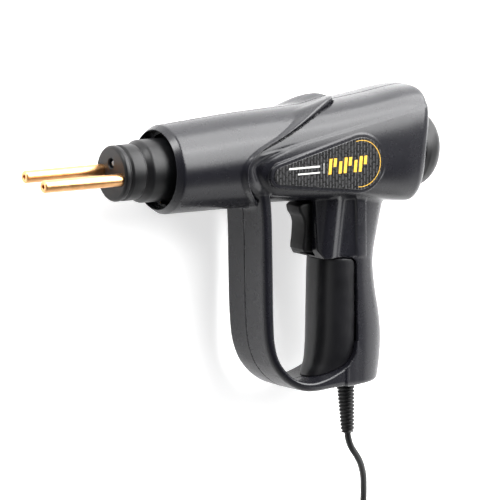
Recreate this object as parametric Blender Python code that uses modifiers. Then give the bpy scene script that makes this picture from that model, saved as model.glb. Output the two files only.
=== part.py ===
"""Hot stapler: a pistol-shaped transformer gun that melts wire staples into cracked plastic.

The tool's own frame is in millimetres: x runs back from the muzzle, y runs up from the grip to the
barrel, and z runs out of the tool's left side. Its zero is the centre of the barrel's mouth. The
tool lies on its right side, so z is also up, and the empty "tool_frame" carries everything to the
place where the floor is z = 0.
"""
import math

import bmesh
import bpy
from mathutils import Vector

MM = 0.001
GAP = 0.3                # between touching pieces
WALL = 2.6               # moulded plastic
FLOOR = -31.0            # the surface that the tool lies on
FRAME_SHIFT = (-58.25, 67.88, 31.0)

# Barrel and its mouth
MOUTH_RADIUS = 24.4
RIM_CHAMFER = 4.3
NOSE_FRONT = -32.2
NOSE_RADIUS = 17.4
NOSE_STEP_RADIUS = 19.5
COLLAR_RADIUS = 23.4

# Electrodes: two rods, the pair turned a little about the barrel's axis
ROD_RADIUS = 3.9
ROD_TIP = -88.0
ROD_BACK = 46.0
ROD_OFFSET = 11.1
ROD_TURN = math.radians(9.0)
ROD_DROP = 0.8

# Transformer
CORE_X = (92.0, 136.0)
CORE_Y = (-17.0, 22.0)
CORE_HALF = 19.5
YOKE = 6.0
CENTRE_LEG = 7.0
WINDOW_OUTER = 14.5
BAR_HALF = 3.7

# Grip, guard and trigger
GUARD_HALF = 21.7
GRIP_FRONT = 128.0
INSERT_BACK = 135.4
CHEEK_HALF = 18.0
TRIGGER_HALF = 8.0
TRIGGER_BACK = 118.4
PIVOT = (113.0, -31.5)
PIVOT_RADIUS = 1.5
SWITCH_FRONT = 127.6
PLUNGER_Y = -50.0

# Cable entry
RELIEF_TOP = (140.2, -135.4)
RELIEF_LENGTH = 41.2
RELIEF_LEAN = math.radians(3.0)
CLAMP_SCREW_X = (134.6, 146.8)
CLAMP_Y = -128.0

# Cord
CORD_RADIUS = 2.1
COIL_CENTRE = (145.0, -276.0)
COIL_OUTER = 31.6
COIL_INNER = 14.6
COIL_HIGH = 17.0
PLUG_HALF_HEIGHT = 6.9
PLUG_HALF_WIDTH = 17.5
PLUG_X = (70.0, 105.0)
PLUG_Y = -306.5
PIN_SPACING = 19.0

# Body stations: x, top, bottom, half width, roundness (2 is an ellipse, more is boxier)
BODY = (
    (40.0, 25.5, -25.0, 25.5, 2.1),
    (75.0, 29.4, -25.8, 27.6, 2.4),
    (105.0, 32.4, -26.4, 28.6, 2.8),
    (132.0, 35.1, -27.2, 29.0, 3.0),
    (152.0, 37.4, -29.2, 29.2, 3.2),
    (168.0, 39.8, -31.2, 29.2, 3.3),
    (177.0, 41.0, -32.0, 28.8, 3.3),
    (182.0, 39.8, -31.2, 27.0, 3.3),
    (184.5, 36.6, -28.6, 24.4, 3.2),
)
BARREL = (
    (0.0, 24.9, -24.9, 24.9, 2.0),
    (RIM_CHAMFER, 27.6, -27.9, 27.9, 2.0),
    (30.0, 29.5, -27.9, 28.3, 2.0),
    (60.0, 31.6, -28.0, 29.0, 2.1),
    (100.0, 33.2, -28.4, 29.6, 2.3),
    (130.0, 34.6, -28.6, 30.0, 2.5),
)
CAVITY_START = 18.0
CAVITY_END = 181.0

# The rear wall leans: its top stands further back than its bottom, by this much a millimetre
REAR_LEAN = 0.11
LEAN_START = 152.0
LEAN_END = 184.5
CAP_SEAT = 184.4

# The hood's rear edge: angle from the top in degrees, x, width of its flared band, flare.
# The flare is highest on two ridges, either side of the seam.
HOOD_EDGE = (
    (0.0, 128.0, 24.0, 3.0),
    (14.0, 125.0, 26.0, 4.6),
    (24.0, 118.0, 26.0, 5.0),
    (38.0, 103.0, 16.0, 3.6),
    (56.0, 82.0, 9.0, 2.8),
    (72.0, 61.0, 7.5, 2.4),
    (86.0, 51.0, 6.5, 2.22),
    (100.0, 49.0, 6.0, 2.22),
    (120.0, 53.0, 5.5, 2.2),
    (150.0, 64.0, 5.5, 2.0),
    (180.0, 70.0, 5.5, 1.6),
)
HOOD_LIP = 1.6
AROUND = 40

# Turns for a profile whose height is its own z axis
ALONG_X = (0.0, math.pi / 2, 0.0)        # height points back along x
FORWARD = (0.0, -math.pi / 2, 0.0)       # height points out of the muzzle
UPWARD = (-math.pi / 2, 0.0, 0.0)        # height points up along y


def clear_scene():
    """Start from an empty scene."""
    for old in list(bpy.data.objects):
        bpy.data.objects.remove(old, do_unlink=True)


def collection(name):
    """A new collection in the scene."""
    made = bpy.data.collections.new(name)
    bpy.context.scene.collection.children.link(made)
    return made


def material(name, colour, roughness, metallic=0.0):
    """A Principled BSDF with one colour."""
    made = bpy.data.materials.new(name)
    made.use_nodes = True
    shader = made.node_tree.nodes["Principled BSDF"]
    shader.inputs["Base Color"].default_value = (*colour, 1.0)
    shader.inputs["Roughness"].default_value = roughness
    shader.inputs["Metallic"].default_value = metallic
    return made


clear_scene()
PARTS = collection("hot_stapler")
CUTTERS = collection("cutters")
TOOL = bpy.data.objects.new("tool_frame", None)
TOOL.location = Vector(FRAME_SHIFT) * MM
PARTS.objects.link(TOOL)

SHELL = material("shell_plastic", (0.075, 0.078, 0.09), 0.28)
DARK = material("dark_plastic", (0.02, 0.02, 0.022), 0.45)
SOFT = material("soft_grip", (0.025, 0.025, 0.028), 0.6)
BRASS = material("brass", (0.85, 0.55, 0.28), 0.3, 1.0)
COPPER = material("copper", (0.75, 0.36, 0.2), 0.35, 1.0)
STEEL = material("steel", (0.5, 0.5, 0.52), 0.35, 1.0)
LAMINATION = material("lamination", (0.2, 0.2, 0.21), 0.5, 1.0)
WINDING = material("winding", (0.5, 0.17, 0.08), 0.4, 0.6)
LAMP = material("lamp", (0.9, 0.92, 0.95), 0.1)
BOARD = material("board", (0.05, 0.2, 0.08), 0.5)
LABEL = material("label", (0.02, 0.02, 0.02), 0.35)
CORD = material("cord", (0.015, 0.015, 0.016), 0.5)
NYLON = material("nylon", (0.75, 0.73, 0.66), 0.5)


# ---------------------------------------------------------------- general helpers

def place(made, mat):
    """Put an object in the part's collection, on the tool's frame."""
    PARTS.objects.link(made)
    made.parent = TOOL
    if mat is not None:
        made.data.materials.append(mat)
    return made


def from_bmesh(name, bm, mat, smooth_angle=35.0):
    """Make an object from a bmesh in millimetres."""
    bmesh.ops.scale(bm, vec=(MM, MM, MM), verts=bm.verts)
    bmesh.ops.recalc_face_normals(bm, faces=bm.faces)
    mesh = bpy.data.meshes.new(name)
    bm.to_mesh(mesh)
    bm.free()
    mesh.shade_smooth()
    mesh.set_sharp_from_angle(angle=math.radians(smooth_angle))
    return place(bpy.data.objects.new(name, mesh), mat)


def loft(name, rings, mat=SHELL):
    """A closed solid through rings of equal length; each end is closed by its ring."""
    bm = bmesh.new()
    loops = [[bm.verts.new(point) for point in ring] for ring in rings]
    for ring, following in zip(loops, loops[1:]):
        for i in range(len(ring)):
            j = (i + 1) % len(ring)
            bm.faces.new((ring[i], ring[j], following[j], following[i]))
    bm.faces.new(loops[0])
    bm.faces.new(loops[-1])
    bmesh.ops.triangulate(bm, faces=bm.faces)
    return from_bmesh(name, bm, mat)


def box(name, low, high, mat=DARK, bevel=0.0):
    """A block between two corners, with its edges bevelled if asked."""
    bm = bmesh.new()
    bmesh.ops.create_cube(bm, size=1.0)
    low = Vector(low)
    high = Vector(high)
    bmesh.ops.scale(bm, vec=high - low, verts=bm.verts)
    bmesh.ops.translate(bm, vec=(low + high) / 2, verts=bm.verts)
    made = from_bmesh(name, bm, mat)
    if bevel:
        rounding = made.modifiers.new("edges", "BEVEL")
        rounding.width = bevel * MM
        rounding.segments = 2
        rounding.limit_method = "ANGLE"
    return made


def rod(name, radius, start, end, mat=STEEL, sides=16):
    """A cylinder between two points."""
    start = Vector(start)
    end = Vector(end)
    bm = bmesh.new()
    bmesh.ops.create_cone(bm, cap_ends=True, segments=sides, radius1=radius, radius2=radius,
                          depth=(end - start).length)
    turn = Vector((0, 0, 1)).rotation_difference(end - start).to_matrix()
    bmesh.ops.rotate(bm, matrix=turn, verts=bm.verts)
    bmesh.ops.translate(bm, vec=(start + end) / 2, verts=bm.verts)
    return from_bmesh(name, bm, mat)


def turned(name, profile, at, turn, mat, steps=32, ring=False):
    """A profile of (radius, height) turned about its own z axis, then placed by at and turn.

    The profile runs from the top down the outer side; ring closes it on itself.
    """
    mesh = bpy.data.meshes.new(name)
    points = [(radius * MM, 0.0, height * MM) for radius, height in profile]
    edges = [(i, i + 1) for i in range(len(points) - 1)]
    if ring:
        edges.append((len(points) - 1, 0))
    mesh.from_pydata(points, edges, [])
    made = place(bpy.data.objects.new(name, mesh), mat)
    made.location = Vector(at) * MM
    made.rotation_euler = turn
    screw = made.modifiers.new("turn", "SCREW")
    screw.steps = steps
    screw.render_steps = steps
    screw.use_merge_vertices = True
    screw.merge_threshold = 0.00001
    screw.use_smooth_shade = True
    return made


def meshed(curve_object):
    """Replace a curve object by a welded mesh of its evaluated shape."""
    bpy.context.view_layer.update()
    evaluated = curve_object.evaluated_get(bpy.context.evaluated_depsgraph_get())
    mesh = bpy.data.meshes.new_from_object(evaluated)
    bm = bmesh.new()
    bm.from_mesh(mesh)
    bmesh.ops.remove_doubles(bm, verts=bm.verts, dist=0.00001)
    bmesh.ops.recalc_face_normals(bm, faces=bm.faces)
    bm.to_mesh(mesh)
    bm.free()
    name = curve_object.name
    mat = curve_object.data.materials[0]
    bpy.data.objects.remove(curve_object, do_unlink=True)
    made = bpy.data.objects.new(name, mesh)
    if not mesh.materials:
        mesh.materials.append(mat)
    return place(made, None)


def slab(name, outlines, low, high, mat=SHELL):
    """A flat outline in the tool's x-y plane, with any holes, between two heights in z."""
    curve = bpy.data.curves.new(name, "CURVE")
    curve.dimensions = "2D"
    curve.fill_mode = "BOTH"
    curve.extrude = (high - low) / 2 * MM
    for outline in outlines:
        spline = curve.splines.new("POLY")
        spline.points.add(len(outline) - 1)
        for point, (x, y) in zip(spline.points, outline):
            point.co = (x * MM, y * MM, 0.0, 1.0)
        spline.use_cyclic_u = True
    made = place(bpy.data.objects.new(name, curve), mat)
    made = meshed(made)
    made.location.z = (low + high) / 2 * MM
    return made


def tube(name, points, radius, mat, bevel_resolution=2):
    """A round wire or cord through points, with flat ends."""
    curve = bpy.data.curves.new(name, "CURVE")
    curve.dimensions = "3D"
    curve.bevel_depth = radius * MM
    curve.bevel_resolution = bevel_resolution
    curve.use_fill_caps = True
    spline = curve.splines.new("POLY")
    spline.points.add(len(points) - 1)
    for point, place_mm in zip(spline.points, points):
        point.co = (*(Vector(place_mm) * MM), 1.0)
    return place(bpy.data.objects.new(name, curve), mat)


def boolean(made, cutter, operation="DIFFERENCE"):
    """Cut, join or intersect an object with a cutter, which is left out of the model."""
    if cutter.name not in CUTTERS.objects:
        CUTTERS.objects.link(cutter)
        PARTS.objects.unlink(cutter)
        cutter.hide_render = True
        cutter.display_type = "WIRE"
    step = made.modifiers.new(cutter.name, "BOOLEAN")
    step.object = cutter
    step.operation = operation


def smooth_through(points, per_span):
    """Points on a Catmull-Rom curve through the given points, of any dimension."""
    points = [Vector(point) for point in points]
    ends = [2 * points[0] - points[1]] + points + [2 * points[-1] - points[-2]]
    made = []
    for i in range(1, len(ends) - 2):
        before, here, after, later = ends[i - 1:i + 3]
        for k in range(per_span):
            t = k / per_span
            made.append(0.5 * (2 * here + (after - before) * t
                               + (2 * before - 5 * here + 4 * after - later) * t * t
                               + (3 * here - before - 3 * after + later) * t ** 3))
    made.append(points[-1])
    return made


def between(table, key):
    """Values of a table of rows at a key in its first column, on straight lines between rows."""
    key = min(max(key, table[0][0]), table[-1][0])
    for row, following in zip(table, table[1:]):
        if key <= following[0]:
            share = (key - row[0]) / (following[0] - row[0])
            return [a + (b - a) * share for a, b in zip(row[1:], following[1:])]
    return list(table[-1][1:])


def arc(centre, radius, start, end, count):
    """Points on an arc; angles in degrees, 0 along x, 90 along y."""
    made = []
    for i in range(count + 1):
        angle = math.radians(start + (end - start) * i / count)
        made.append((centre[0] + radius * math.cos(angle), centre[1] + radius * math.sin(angle)))
    return made


# ---------------------------------------------------------------- housing

def section_point(x, angle, station, grow=0.0):
    """A point of a body section; the angle runs from the top to the left side, in radians."""
    top, bottom, half, power = station
    middle = (top + bottom) / 2
    tall = (top - bottom) / 2 + grow
    wide = half + grow
    cos = math.cos(angle)
    sin = math.sin(angle)
    y = middle + tall * math.copysign(abs(cos) ** (2 / power), cos)
    z = wide * math.copysign(abs(sin) ** (2 / power), sin)
    lean = min(max((x - LEAN_START) / (LEAN_END - LEAN_START), 0.0), 1.0)
    return (x + REAR_LEAN * y * lean, y, z)


def section_ring(x, station, grow=0.0):
    """A whole body section."""
    return [section_point(x, 2 * math.pi * i / AROUND, station, grow) for i in range(AROUND)]


def rear_body(name):
    """The body behind the hood, from inside the hood to the rear wall."""
    return loft(name, [section_ring(row[0], row[1:]) for row in BODY])


def hood(name):
    """The barrel's shroud: a chamfered rim, and a slanted rear edge that flares outward."""
    angles = [360.0 * i / AROUND for i in range(AROUND)]
    edges = [between(HOOD_EDGE, min(angle, 360.0 - angle)) for angle in angles]
    rings = [section_ring(0.0, BARREL[0][1:]), section_ring(RIM_CHAMFER, BARREL[1][1:])]
    for share in (0.3, 0.6, 1.0):
        ring = []
        for angle, (edge, band, _) in zip(angles, edges):
            x = RIM_CHAMFER + (edge - band - RIM_CHAMFER) * share
            ring.append(section_point(x, math.radians(angle), between(BARREL, x)))
        rings.append(ring)
    for back, rise in ((0.3, 0.75), (0.0, 1.0), (0.0, -HOOD_LIP), (0.0, -11.0)):
        ring = []
        for angle, (edge, band, flare) in zip(angles, edges):
            x = edge - band * back
            grow = flare * rise if rise > 0 else flare + rise
            ring.append(section_point(x, math.radians(angle), between(BARREL, x), grow))
        rings.append(ring)
    rings.append(section_ring(80.0, (5.0, -5.0, 5.0, 2.0)))
    return loft(name, rings)


# Guard and grip outlines in the tool's x-y plane
GUARD_OUTER = (
    (60.0, -10.0), (64.3, -30.4), (65.4, -68.0), (66.0, -92.0), (67.6, -111.0), (71.4, -123.2),
    (76.2, -130.8), (82.6, -137.2), (90.4, -142.0), (99.0, -144.8), (108.0, -145.3),
    (119.7, -144.4), (140.0, -143.6),
)
GUARD_INNER = (
    (69.5, -10.0), (71.9, -30.4), (72.8, -68.0), (73.3, -95.0), (74.2, -111.0), (77.2, -122.2),
    (82.8, -130.2), (91.0, -136.6), (101.4, -139.2), (111.6, -137.9), (121.6, -134.2),
    (129.0, -130.2), (133.6, -124.0), (135.6, -116.0),
)


def guard(name):
    """The finger guard: a band that drops from the barrel and turns under into the grip."""
    outer = smooth_through([(x, y, 0) for x, y in GUARD_OUTER], 2)
    inner = smooth_through([(x, y, 0) for x, y in GUARD_INNER], 2)
    outline = [(p.x, p.y) for p in outer] + [(p.x, p.y) for p in reversed(inner)]
    made = slab(name, [outline], -GUARD_HALF, GUARD_HALF)
    rounding = made.modifiers.new("edges", "BEVEL")
    rounding.width = 1.6 * MM
    rounding.segments = 1
    rounding.limit_method = "ANGLE"
    rounding.angle_limit = math.radians(50)
    return made


# Grip stations: y, back edge, half width
GRIP = (
    (-22.0, 166.0, 19.0),
    (-33.5, 164.6, 19.2),
    (-48.0, 159.6, 19.6),
    (-60.0, 156.6, 19.8),
    (-70.0, 155.8, 20.0),
    (-84.0, 157.4, 20.4),
    (-98.0, 160.2, 20.8),
    (-111.0, 161.8, 21.2),
    (-124.0, 161.4, 21.5),
    (-136.0, 159.4, 21.6),
    (-141.0, 157.6, 21.0),
    (-143.0, 155.4, 19.6),
)
GRIP_POINTS = 16

# The insert's edges lie in pockets either side of the grip's front block
BLOCK_HALF = 15.9
POCKET_FRONT = 124.0
POCKET_TOP = -63.1
LOOP_CENTRE = (104.0, -106.0)
LOOP_RADIUS = 33.0


def loop_bottom(lift=0.0):
    """The guard's inner curve under the grip, moved towards the loop's centre by lift."""
    share = lift / LOOP_RADIUS
    x, y = LOOP_CENTRE
    curve = smooth_through([(x, y, 0) for x, y in GUARD_INNER[7:]], 2)
    return [(p.x + (x - p.x) * share, p.y + (y - p.y) * share) for p in curve]


def grip_ring(y, back, half, inset=0.0):
    """A D-shaped section of the grip: flat at the front, rounded at the back."""
    front = GRIP_FRONT + inset
    back -= inset
    half -= inset
    ring = [(front, y, -half), (front, y, half)]
    for i in range(GRIP_POINTS + 1):
        angle = math.pi / 2 - math.pi * i / GRIP_POINTS
        x = front + 8.0 + (back - front - 8.0) * abs(math.cos(angle)) ** (2 / 2.4)
        z = half * math.copysign(abs(math.sin(angle)) ** (2 / 2.4), math.sin(angle))
        ring.append((x, y, z))
    return ring


def grip(name, inset=0.0, low=-143.0, high=-22.0):
    """The grip, or its hollow when inset by the wall."""
    rings = []
    for y, back, half in GRIP:
        if low < y < high:
            rings.append(grip_ring(y, back, half, inset))
    for y, end in ((low, len(rings)), (high, 0)):
        back, half = between([(-row[0], row[1], row[2]) for row in GRIP], -y)
        rings.insert(end, grip_ring(y, back, half, inset))
    return loft(name, rings)


def tapered_capsule(grow=0.0):
    """The teardrop of the label panel: two arcs and their common tangents."""
    small = (73.6, -6.0, 5.6 + grow)
    large = (131.8, -2.6, 16.4 + grow)
    run = math.hypot(large[0] - small[0], large[1] - small[1])
    lean = math.degrees(math.atan2(large[1] - small[1], large[0] - small[0]))
    spread = math.degrees(math.acos((small[2] - large[2]) / run))
    return (arc(large[:2], large[2], lean - spread, lean + spread, 14)
            + arc(small[:2], small[2], lean + spread, lean + 360.0 - spread, 8))


PANEL_TOP = 29.7
PANEL_EDGE = 2.4

# Housing screws: x, y, how far the boss runs to each side
SCREWS = (
    (34.0, 18.5, 15.5),
    (34.0, -18.5, 15.5),
    (157.0, 27.0, 23.5),
    (168.0, -17.0, 25.5),
    (126.0, -138.0, 0.0),
    (150.5, -104.0, 15.0),
    (66.0, -21.0, 17.0),
)
BOSS_RADIUS = 4.4
HEAD_RADIUS = 2.6
HEAD_SEAT = -11.0
HEAD_THICK = 2.0
SHANK_RADIUS = 1.5
SHANK_END = 11.0


def housing_cutters():
    """Everything that is joined to or cut from both halves, in order."""
    steps = []
    for made in (hood("hood_solid"), guard("guard_solid"), grip("grip_solid")):
        steps.append((made, "UNION"))
    cheeks = slab("cheek_solid", [[(109.4, -20.0), (109.4, -57.5), (113.0, -62.8),
                                   (136.0, -62.8), (136.0, -20.0)]], -CHEEK_HALF, CHEEK_HALF)
    steps.append((cheeks, "UNION"))
    panel = slab("panel_solid", [tapered_capsule(PANEL_EDGE)], -PANEL_TOP, PANEL_TOP)
    steps.append((panel, "UNION"))

    inside = []
    for row in BODY[:-1]:
        station = between(BODY, min(row[0], CAVITY_END))
        inside.append(section_ring(min(row[0], CAVITY_END), station, -WALL))
    front = section_ring(CAVITY_START, (24.6, -24.6, 24.6, 2.0))
    steps.append((loft("body_hollow", [front] + inside[1:]), "DIFFERENCE"))
    steps.append((grip("grip_hollow", WALL, -139.6, -24.0), "DIFFERENCE"))
    for side in (1, -1):
        low, high = sorted((side * (BLOCK_HALF + 0.5), side * (BLOCK_HALF - WALL)))
        wall = box(f"block_wall_{side}", (GRIP_FRONT + 1.0, -141.0, low), (139.0, -60.0, high))
        steps.append((wall, "UNION"))
        low, high = sorted((side * BLOCK_HALF, side * 26.0))
        pocket = [point for point in loop_bottom(-GAP) if point[0] > POCKET_FRONT]
        pocket += [(INSERT_BACK + 2 * GAP, POCKET_TOP), (POCKET_FRONT, POCKET_TOP)]
        steps.append((slab(f"insert_pocket_{side}", [pocket], low, high), "DIFFERENCE"))
    slot = box("trigger_slot", (104.0, -61.2, -TRIGGER_HALF - 0.4),
               (GRIP_FRONT + 6.0, -25.9, TRIGGER_HALF + 0.4))
    steps.append((slot, "DIFFERENCE"))
    passage = turned("nose_passage", [
        (0.0, 20.0), (20.3, 20.0), (20.3, 15.0), (COLLAR_RADIUS + 0.5, 15.0),
        (COLLAR_RADIUS + 0.5, 11.0), (20.3, 11.0), (20.3, 8.0), (MOUTH_RADIUS, 8.0),
        (MOUTH_RADIUS, -2.0), (0.0, -2.0)], (0, 0, 0), ALONG_X, SHELL, steps=44)
    steps.append((passage, "DIFFERENCE"))
    ahead = Vector((1.0, -REAR_LEAN, 0.0)).normalized()
    seat = Vector((CAP_SEAT, 0.0, 0.0))
    hole = rod("cap_hole", 16.3, seat - ahead * 6.5, seat + ahead * 5.0, sides=36)
    steps.append((hole, "DIFFERENCE"))
    relief = rod("relief_hole", 6.6, (RELIEF_TOP[0] + 0.3, -147.0, 0),
                 (RELIEF_TOP[0] + 0.3, -138.0, 0))
    steps.append((relief, "DIFFERENCE"))
    return steps


def housing_half(name, steps, side):
    """One half of the housing: side is 1 for the left half and -1 for the right."""
    made = rear_body(name)
    for cutter, operation in steps:
        boolean(made, cutter, operation)
    for index, (x, y, reach) in enumerate(SCREWS):
        if reach:
            boss = rod(f"{name}_boss_{index}", BOSS_RADIUS, (x, y, -reach), (x, y, reach), sides=14)
            boolean(made, boss, "UNION")
    for y in (-9.0, 16.0):
        pad = box(f"{name}_pad_{y:.0f}", (104.0, y - 3.0, side * (CORE_HALF + GAP)),
                  (124.0, y + 3.0, side * 25.8))
        boolean(made, pad, "UNION")
    seam, far = sorted((side * GAP / 2, -side * 45.0))
    other = box(f"{name}_other_side", (-10.0, -160.0, seam), (220.0, 60.0, far))
    boolean(made, other)
    if side > 0:
        for x in CLAMP_SCREW_X:
            post = rod(f"clamp_post_{x:.0f}", 3.2, (x, CLAMP_Y, -2.0), (x, CLAMP_Y, 19.6), sides=12)
            boolean(made, post, "UNION")
            hole = rod(f"clamp_hole_{x:.0f}", 1.5, (x, CLAMP_Y, -5.0), (x, CLAMP_Y, 9.0), sides=12)
            boolean(made, hole)
    for index, (x, y, _) in enumerate(SCREWS):
        low = -12.0 if side < 0 else 0.0
        hole = rod(f"{name}_hole_{index}", SHANK_RADIUS + GAP, (x, y, low - 2.0),
                   (x, y, low + 13.5), sides=12)
        boolean(made, hole)
        if side < 0:
            bore = rod(f"{name}_sink_{index}", HEAD_RADIUS + GAP, (x, y, -35.0),
                       (x, y, HEAD_SEAT + GAP), sides=16)
            boolean(made, bore)
    pin_hole = rod(f"{name}_pin_hole", PIVOT_RADIUS + GAP, (*PIVOT, -13.3), (*PIVOT, 13.3),
                   sides=12)
    boolean(made, pin_hole)
    return made


def housing_screw(index, x, y):
    """A pan-head screw that enters from the right side."""
    profile = [(0.0, SHANK_END), (SHANK_RADIUS, SHANK_END - 1.0), (SHANK_RADIUS, HEAD_SEAT),
               (HEAD_RADIUS, HEAD_SEAT), (HEAD_RADIUS, HEAD_SEAT - 1.2),
               (HEAD_RADIUS - 0.8, HEAD_SEAT - HEAD_THICK), (0.0, HEAD_SEAT - HEAD_THICK)]
    turned(f"housing_screw_{index}", profile, (x, y, 0), (0, 0, 0), STEEL, steps=12)


# ---------------------------------------------------------------- nose and electrodes

LAMP_Y = 6.4
CLAMP_X = (26.0, 46.0)
CLAMP_HALF = (7.0, 5.6)
CLAMP_SCREW_RADIUS = 2.0


def rod_place(side):
    """The y and z of one electrode's axis; side is 1 for the left and -1 for the right."""
    return (-side * ROD_OFFSET * math.sin(ROD_TURN) - ROD_DROP,
            side * ROD_OFFSET * math.cos(ROD_TURN))


def nose():
    """The stepped insulating nose, held by its collar, with three holes along it."""
    profile = [(0.0, 32.2), (15.9, 32.2), (NOSE_RADIUS, 30.6), (NOSE_RADIUS, 27.4),
               (16.4, 26.6), (NOSE_RADIUS, 25.8), (NOSE_RADIUS, 16.2), (16.6, 15.4),
               (16.6, 14.6), (NOSE_STEP_RADIUS, 13.6), (NOSE_STEP_RADIUS, -11.3),
               (COLLAR_RADIUS, -11.3), (COLLAR_RADIUS, -14.7), (NOSE_STEP_RADIUS, -14.7),
               (NOSE_STEP_RADIUS, -17.7), (0.0, -17.7)]
    made = turned("nose_insulator", profile, (0, 0, 0), FORWARD, DARK, steps=32)
    for side, word in ((1, "left"), (-1, "right")):
        y, z = rod_place(side)
        bore = rod(f"rod_bore_{word}", ROD_RADIUS + GAP, (-40, y, z), (25, y, z))
        boolean(made, bore)
    boolean(made, rod("lamp_bore", 3.5, (-40, LAMP_Y, 0), (25, LAMP_Y, 0)))


def electrodes():
    """Two brass rods, chamfered and drilled at the tip, each with its clamp block and screw."""
    tip = -ROD_TIP
    for side, word in ((1, "left"), (-1, "right")):
        y, z = rod_place(side)
        profile = [(0.0, tip - 6.0), (1.3, tip - 6.0), (1.3, tip), (3.1, tip),
                   (ROD_RADIUS, tip - 0.9), (ROD_RADIUS, -ROD_BACK), (0.0, -ROD_BACK)]
        turned(f"electrode_{word}", profile, (0, y, z), FORWARD, BRASS, steps=16)

        block = box(f"electrode_clamp_{word}", (CLAMP_X[0], y - CLAMP_HALF[0], z - CLAMP_HALF[1]),
                    (CLAMP_X[1], y + CLAMP_HALF[0], z + CLAMP_HALF[1]), BRASS)
        boolean(block, rod(f"clamp_bore_{word}", ROD_RADIUS + GAP, (20, y, z), (50, y, z)))
        middle = sum(CLAMP_X) / 2
        boolean(block, rod(f"clamp_thread_{word}", CLAMP_SCREW_RADIUS + GAP,
                           (middle, y + 2.0, z), (middle, y + 9.0, z)))
        head = CLAMP_HALF[0] + GAP
        profile = [(0.0, head + 2.2), (3.3, head + 2.2), (3.3, head), (CLAMP_SCREW_RADIUS, head),
                   (CLAMP_SCREW_RADIUS, ROD_RADIUS + GAP), (0.0, ROD_RADIUS + GAP)]
        turned(f"clamp_screw_{word}", profile, (middle, y, z), UPWARD, STEEL, steps=12)


def lamp():
    """The work light between the electrodes, and the small board behind the nose."""
    profile = [(0.0, 31.4), (1.4, 31.0), (2.2, 30.1), (2.5, 28.9), (2.5, 24.0), (2.9, 24.0),
               (2.9, 22.8), (1.2, 22.8), (1.2, -18.6), (0.0, -18.6)]
    turned("led_lamp", profile, (0, LAMP_Y, 0), FORWARD, LAMP, steps=16)
    box("led_board", (19.0, 2.0, -6.2), (20.6, 17.0, 6.2), BOARD)


# ---------------------------------------------------------------- transformer

def on_xz(made, y):
    """Stand a flat outline up in the x-z plane, with its thickness along y."""
    made.rotation_euler = (math.pi / 2, 0.0, 0.0)
    made.location = Vector((0.0, y, 0.0)) * MM
    return made


def rectangle(x, z, chamfer=0.0):
    """Corners of a rectangle between two pairs of limits, with cut corners if asked."""
    if not chamfer:
        return [(x[0], z[0]), (x[1], z[0]), (x[1], z[1]), (x[0], z[1])]
    return [(x[0] + chamfer, z[0]), (x[1] - chamfer, z[0]), (x[1], z[0] + chamfer),
            (x[1], z[1] - chamfer), (x[1] - chamfer, z[1]), (x[0] + chamfer, z[1]),
            (x[0], z[1] - chamfer), (x[0], z[0] + chamfer)]


def transformer():
    """Core with two windows, bobbin, two primary coils, cut-out and the one-turn copper bar."""
    windows = []
    for side in (1, -1):
        limits = sorted((side * CENTRE_LEG, side * WINDOW_OUTER))
        windows.append(rectangle((CORE_Y[0] + YOKE, CORE_Y[1] - YOKE), limits))
    core = slab("transformer_core", [rectangle(CORE_Y, (-CORE_HALF, CORE_HALF))] + windows,
                -(CORE_X[1] - CORE_X[0]) / 2, (CORE_X[1] - CORE_X[0]) / 2, LAMINATION)
    core.rotation_euler = (math.pi / 2, 0.0, math.pi / 2)
    core.location = Vector((sum(CORE_X) / 2, 0.0, 0.0)) * MM

    low = CORE_Y[0] + YOKE + GAP
    high = CORE_Y[1] - YOKE - GAP
    inner = GAP
    outer = inner + 1.2
    bobbin = slab("coil_bobbin", [
        rectangle((CORE_X[0] - outer, CORE_X[1] + outer),
                  (-CENTRE_LEG - outer, CENTRE_LEG + outer)),
        rectangle((CORE_X[0] - inner, CORE_X[1] + inner),
                  (-CENTRE_LEG - inner, CENTRE_LEG + inner))],
                  -(high - low) / 2, (high - low) / 2, NYLON)
    on_xz(bobbin, (high + low) / 2)

    inner = outer + GAP
    outer = WINDOW_OUTER - CENTRE_LEG - GAP
    split = BAR_HALF + 0.6
    for word, limits in (("lower", (low, -split)), ("upper", (split, high))):
        coil = slab(f"primary_coil_{word}", [
            rectangle((CORE_X[0] - outer, CORE_X[1] + outer),
                      (-CENTRE_LEG - outer, CENTRE_LEG + outer), 3.0),
            rectangle((CORE_X[0] - inner, CORE_X[1] + inner),
                      (-CENTRE_LEG - inner, CENTRE_LEG + inner))],
                    -(limits[1] - limits[0]) / 2, (limits[1] - limits[0]) / 2, WINDING)
        on_xz(coil, sum(limits) / 2)

    bar_inner = CENTRE_LEG + 2.2
    bar_outer = WINDOW_OUTER - 0.5
    start = CLAMP_X[1] + GAP
    back = CORE_X[1] + 10.0
    bar = slab("secondary_bar", [[
        (start, -bar_outer), (back - 4.0, -bar_outer), (back, -bar_outer + 4.0),
        (back, bar_outer - 4.0), (back - 4.0, bar_outer), (start, bar_outer),
        (start, bar_inner), (back - 6.5, bar_inner), (back - 6.5, -bar_inner),
        (start, -bar_inner)]], -BAR_HALF, BAR_HALF, COPPER)
    on_xz(bar, 0.0)
    box("thermal_cutout", (78.6, 8.0, -5.0), (84.2, 17.0, 5.0), STEEL, 0.6)


# ---------------------------------------------------------------- trigger and switch

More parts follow.
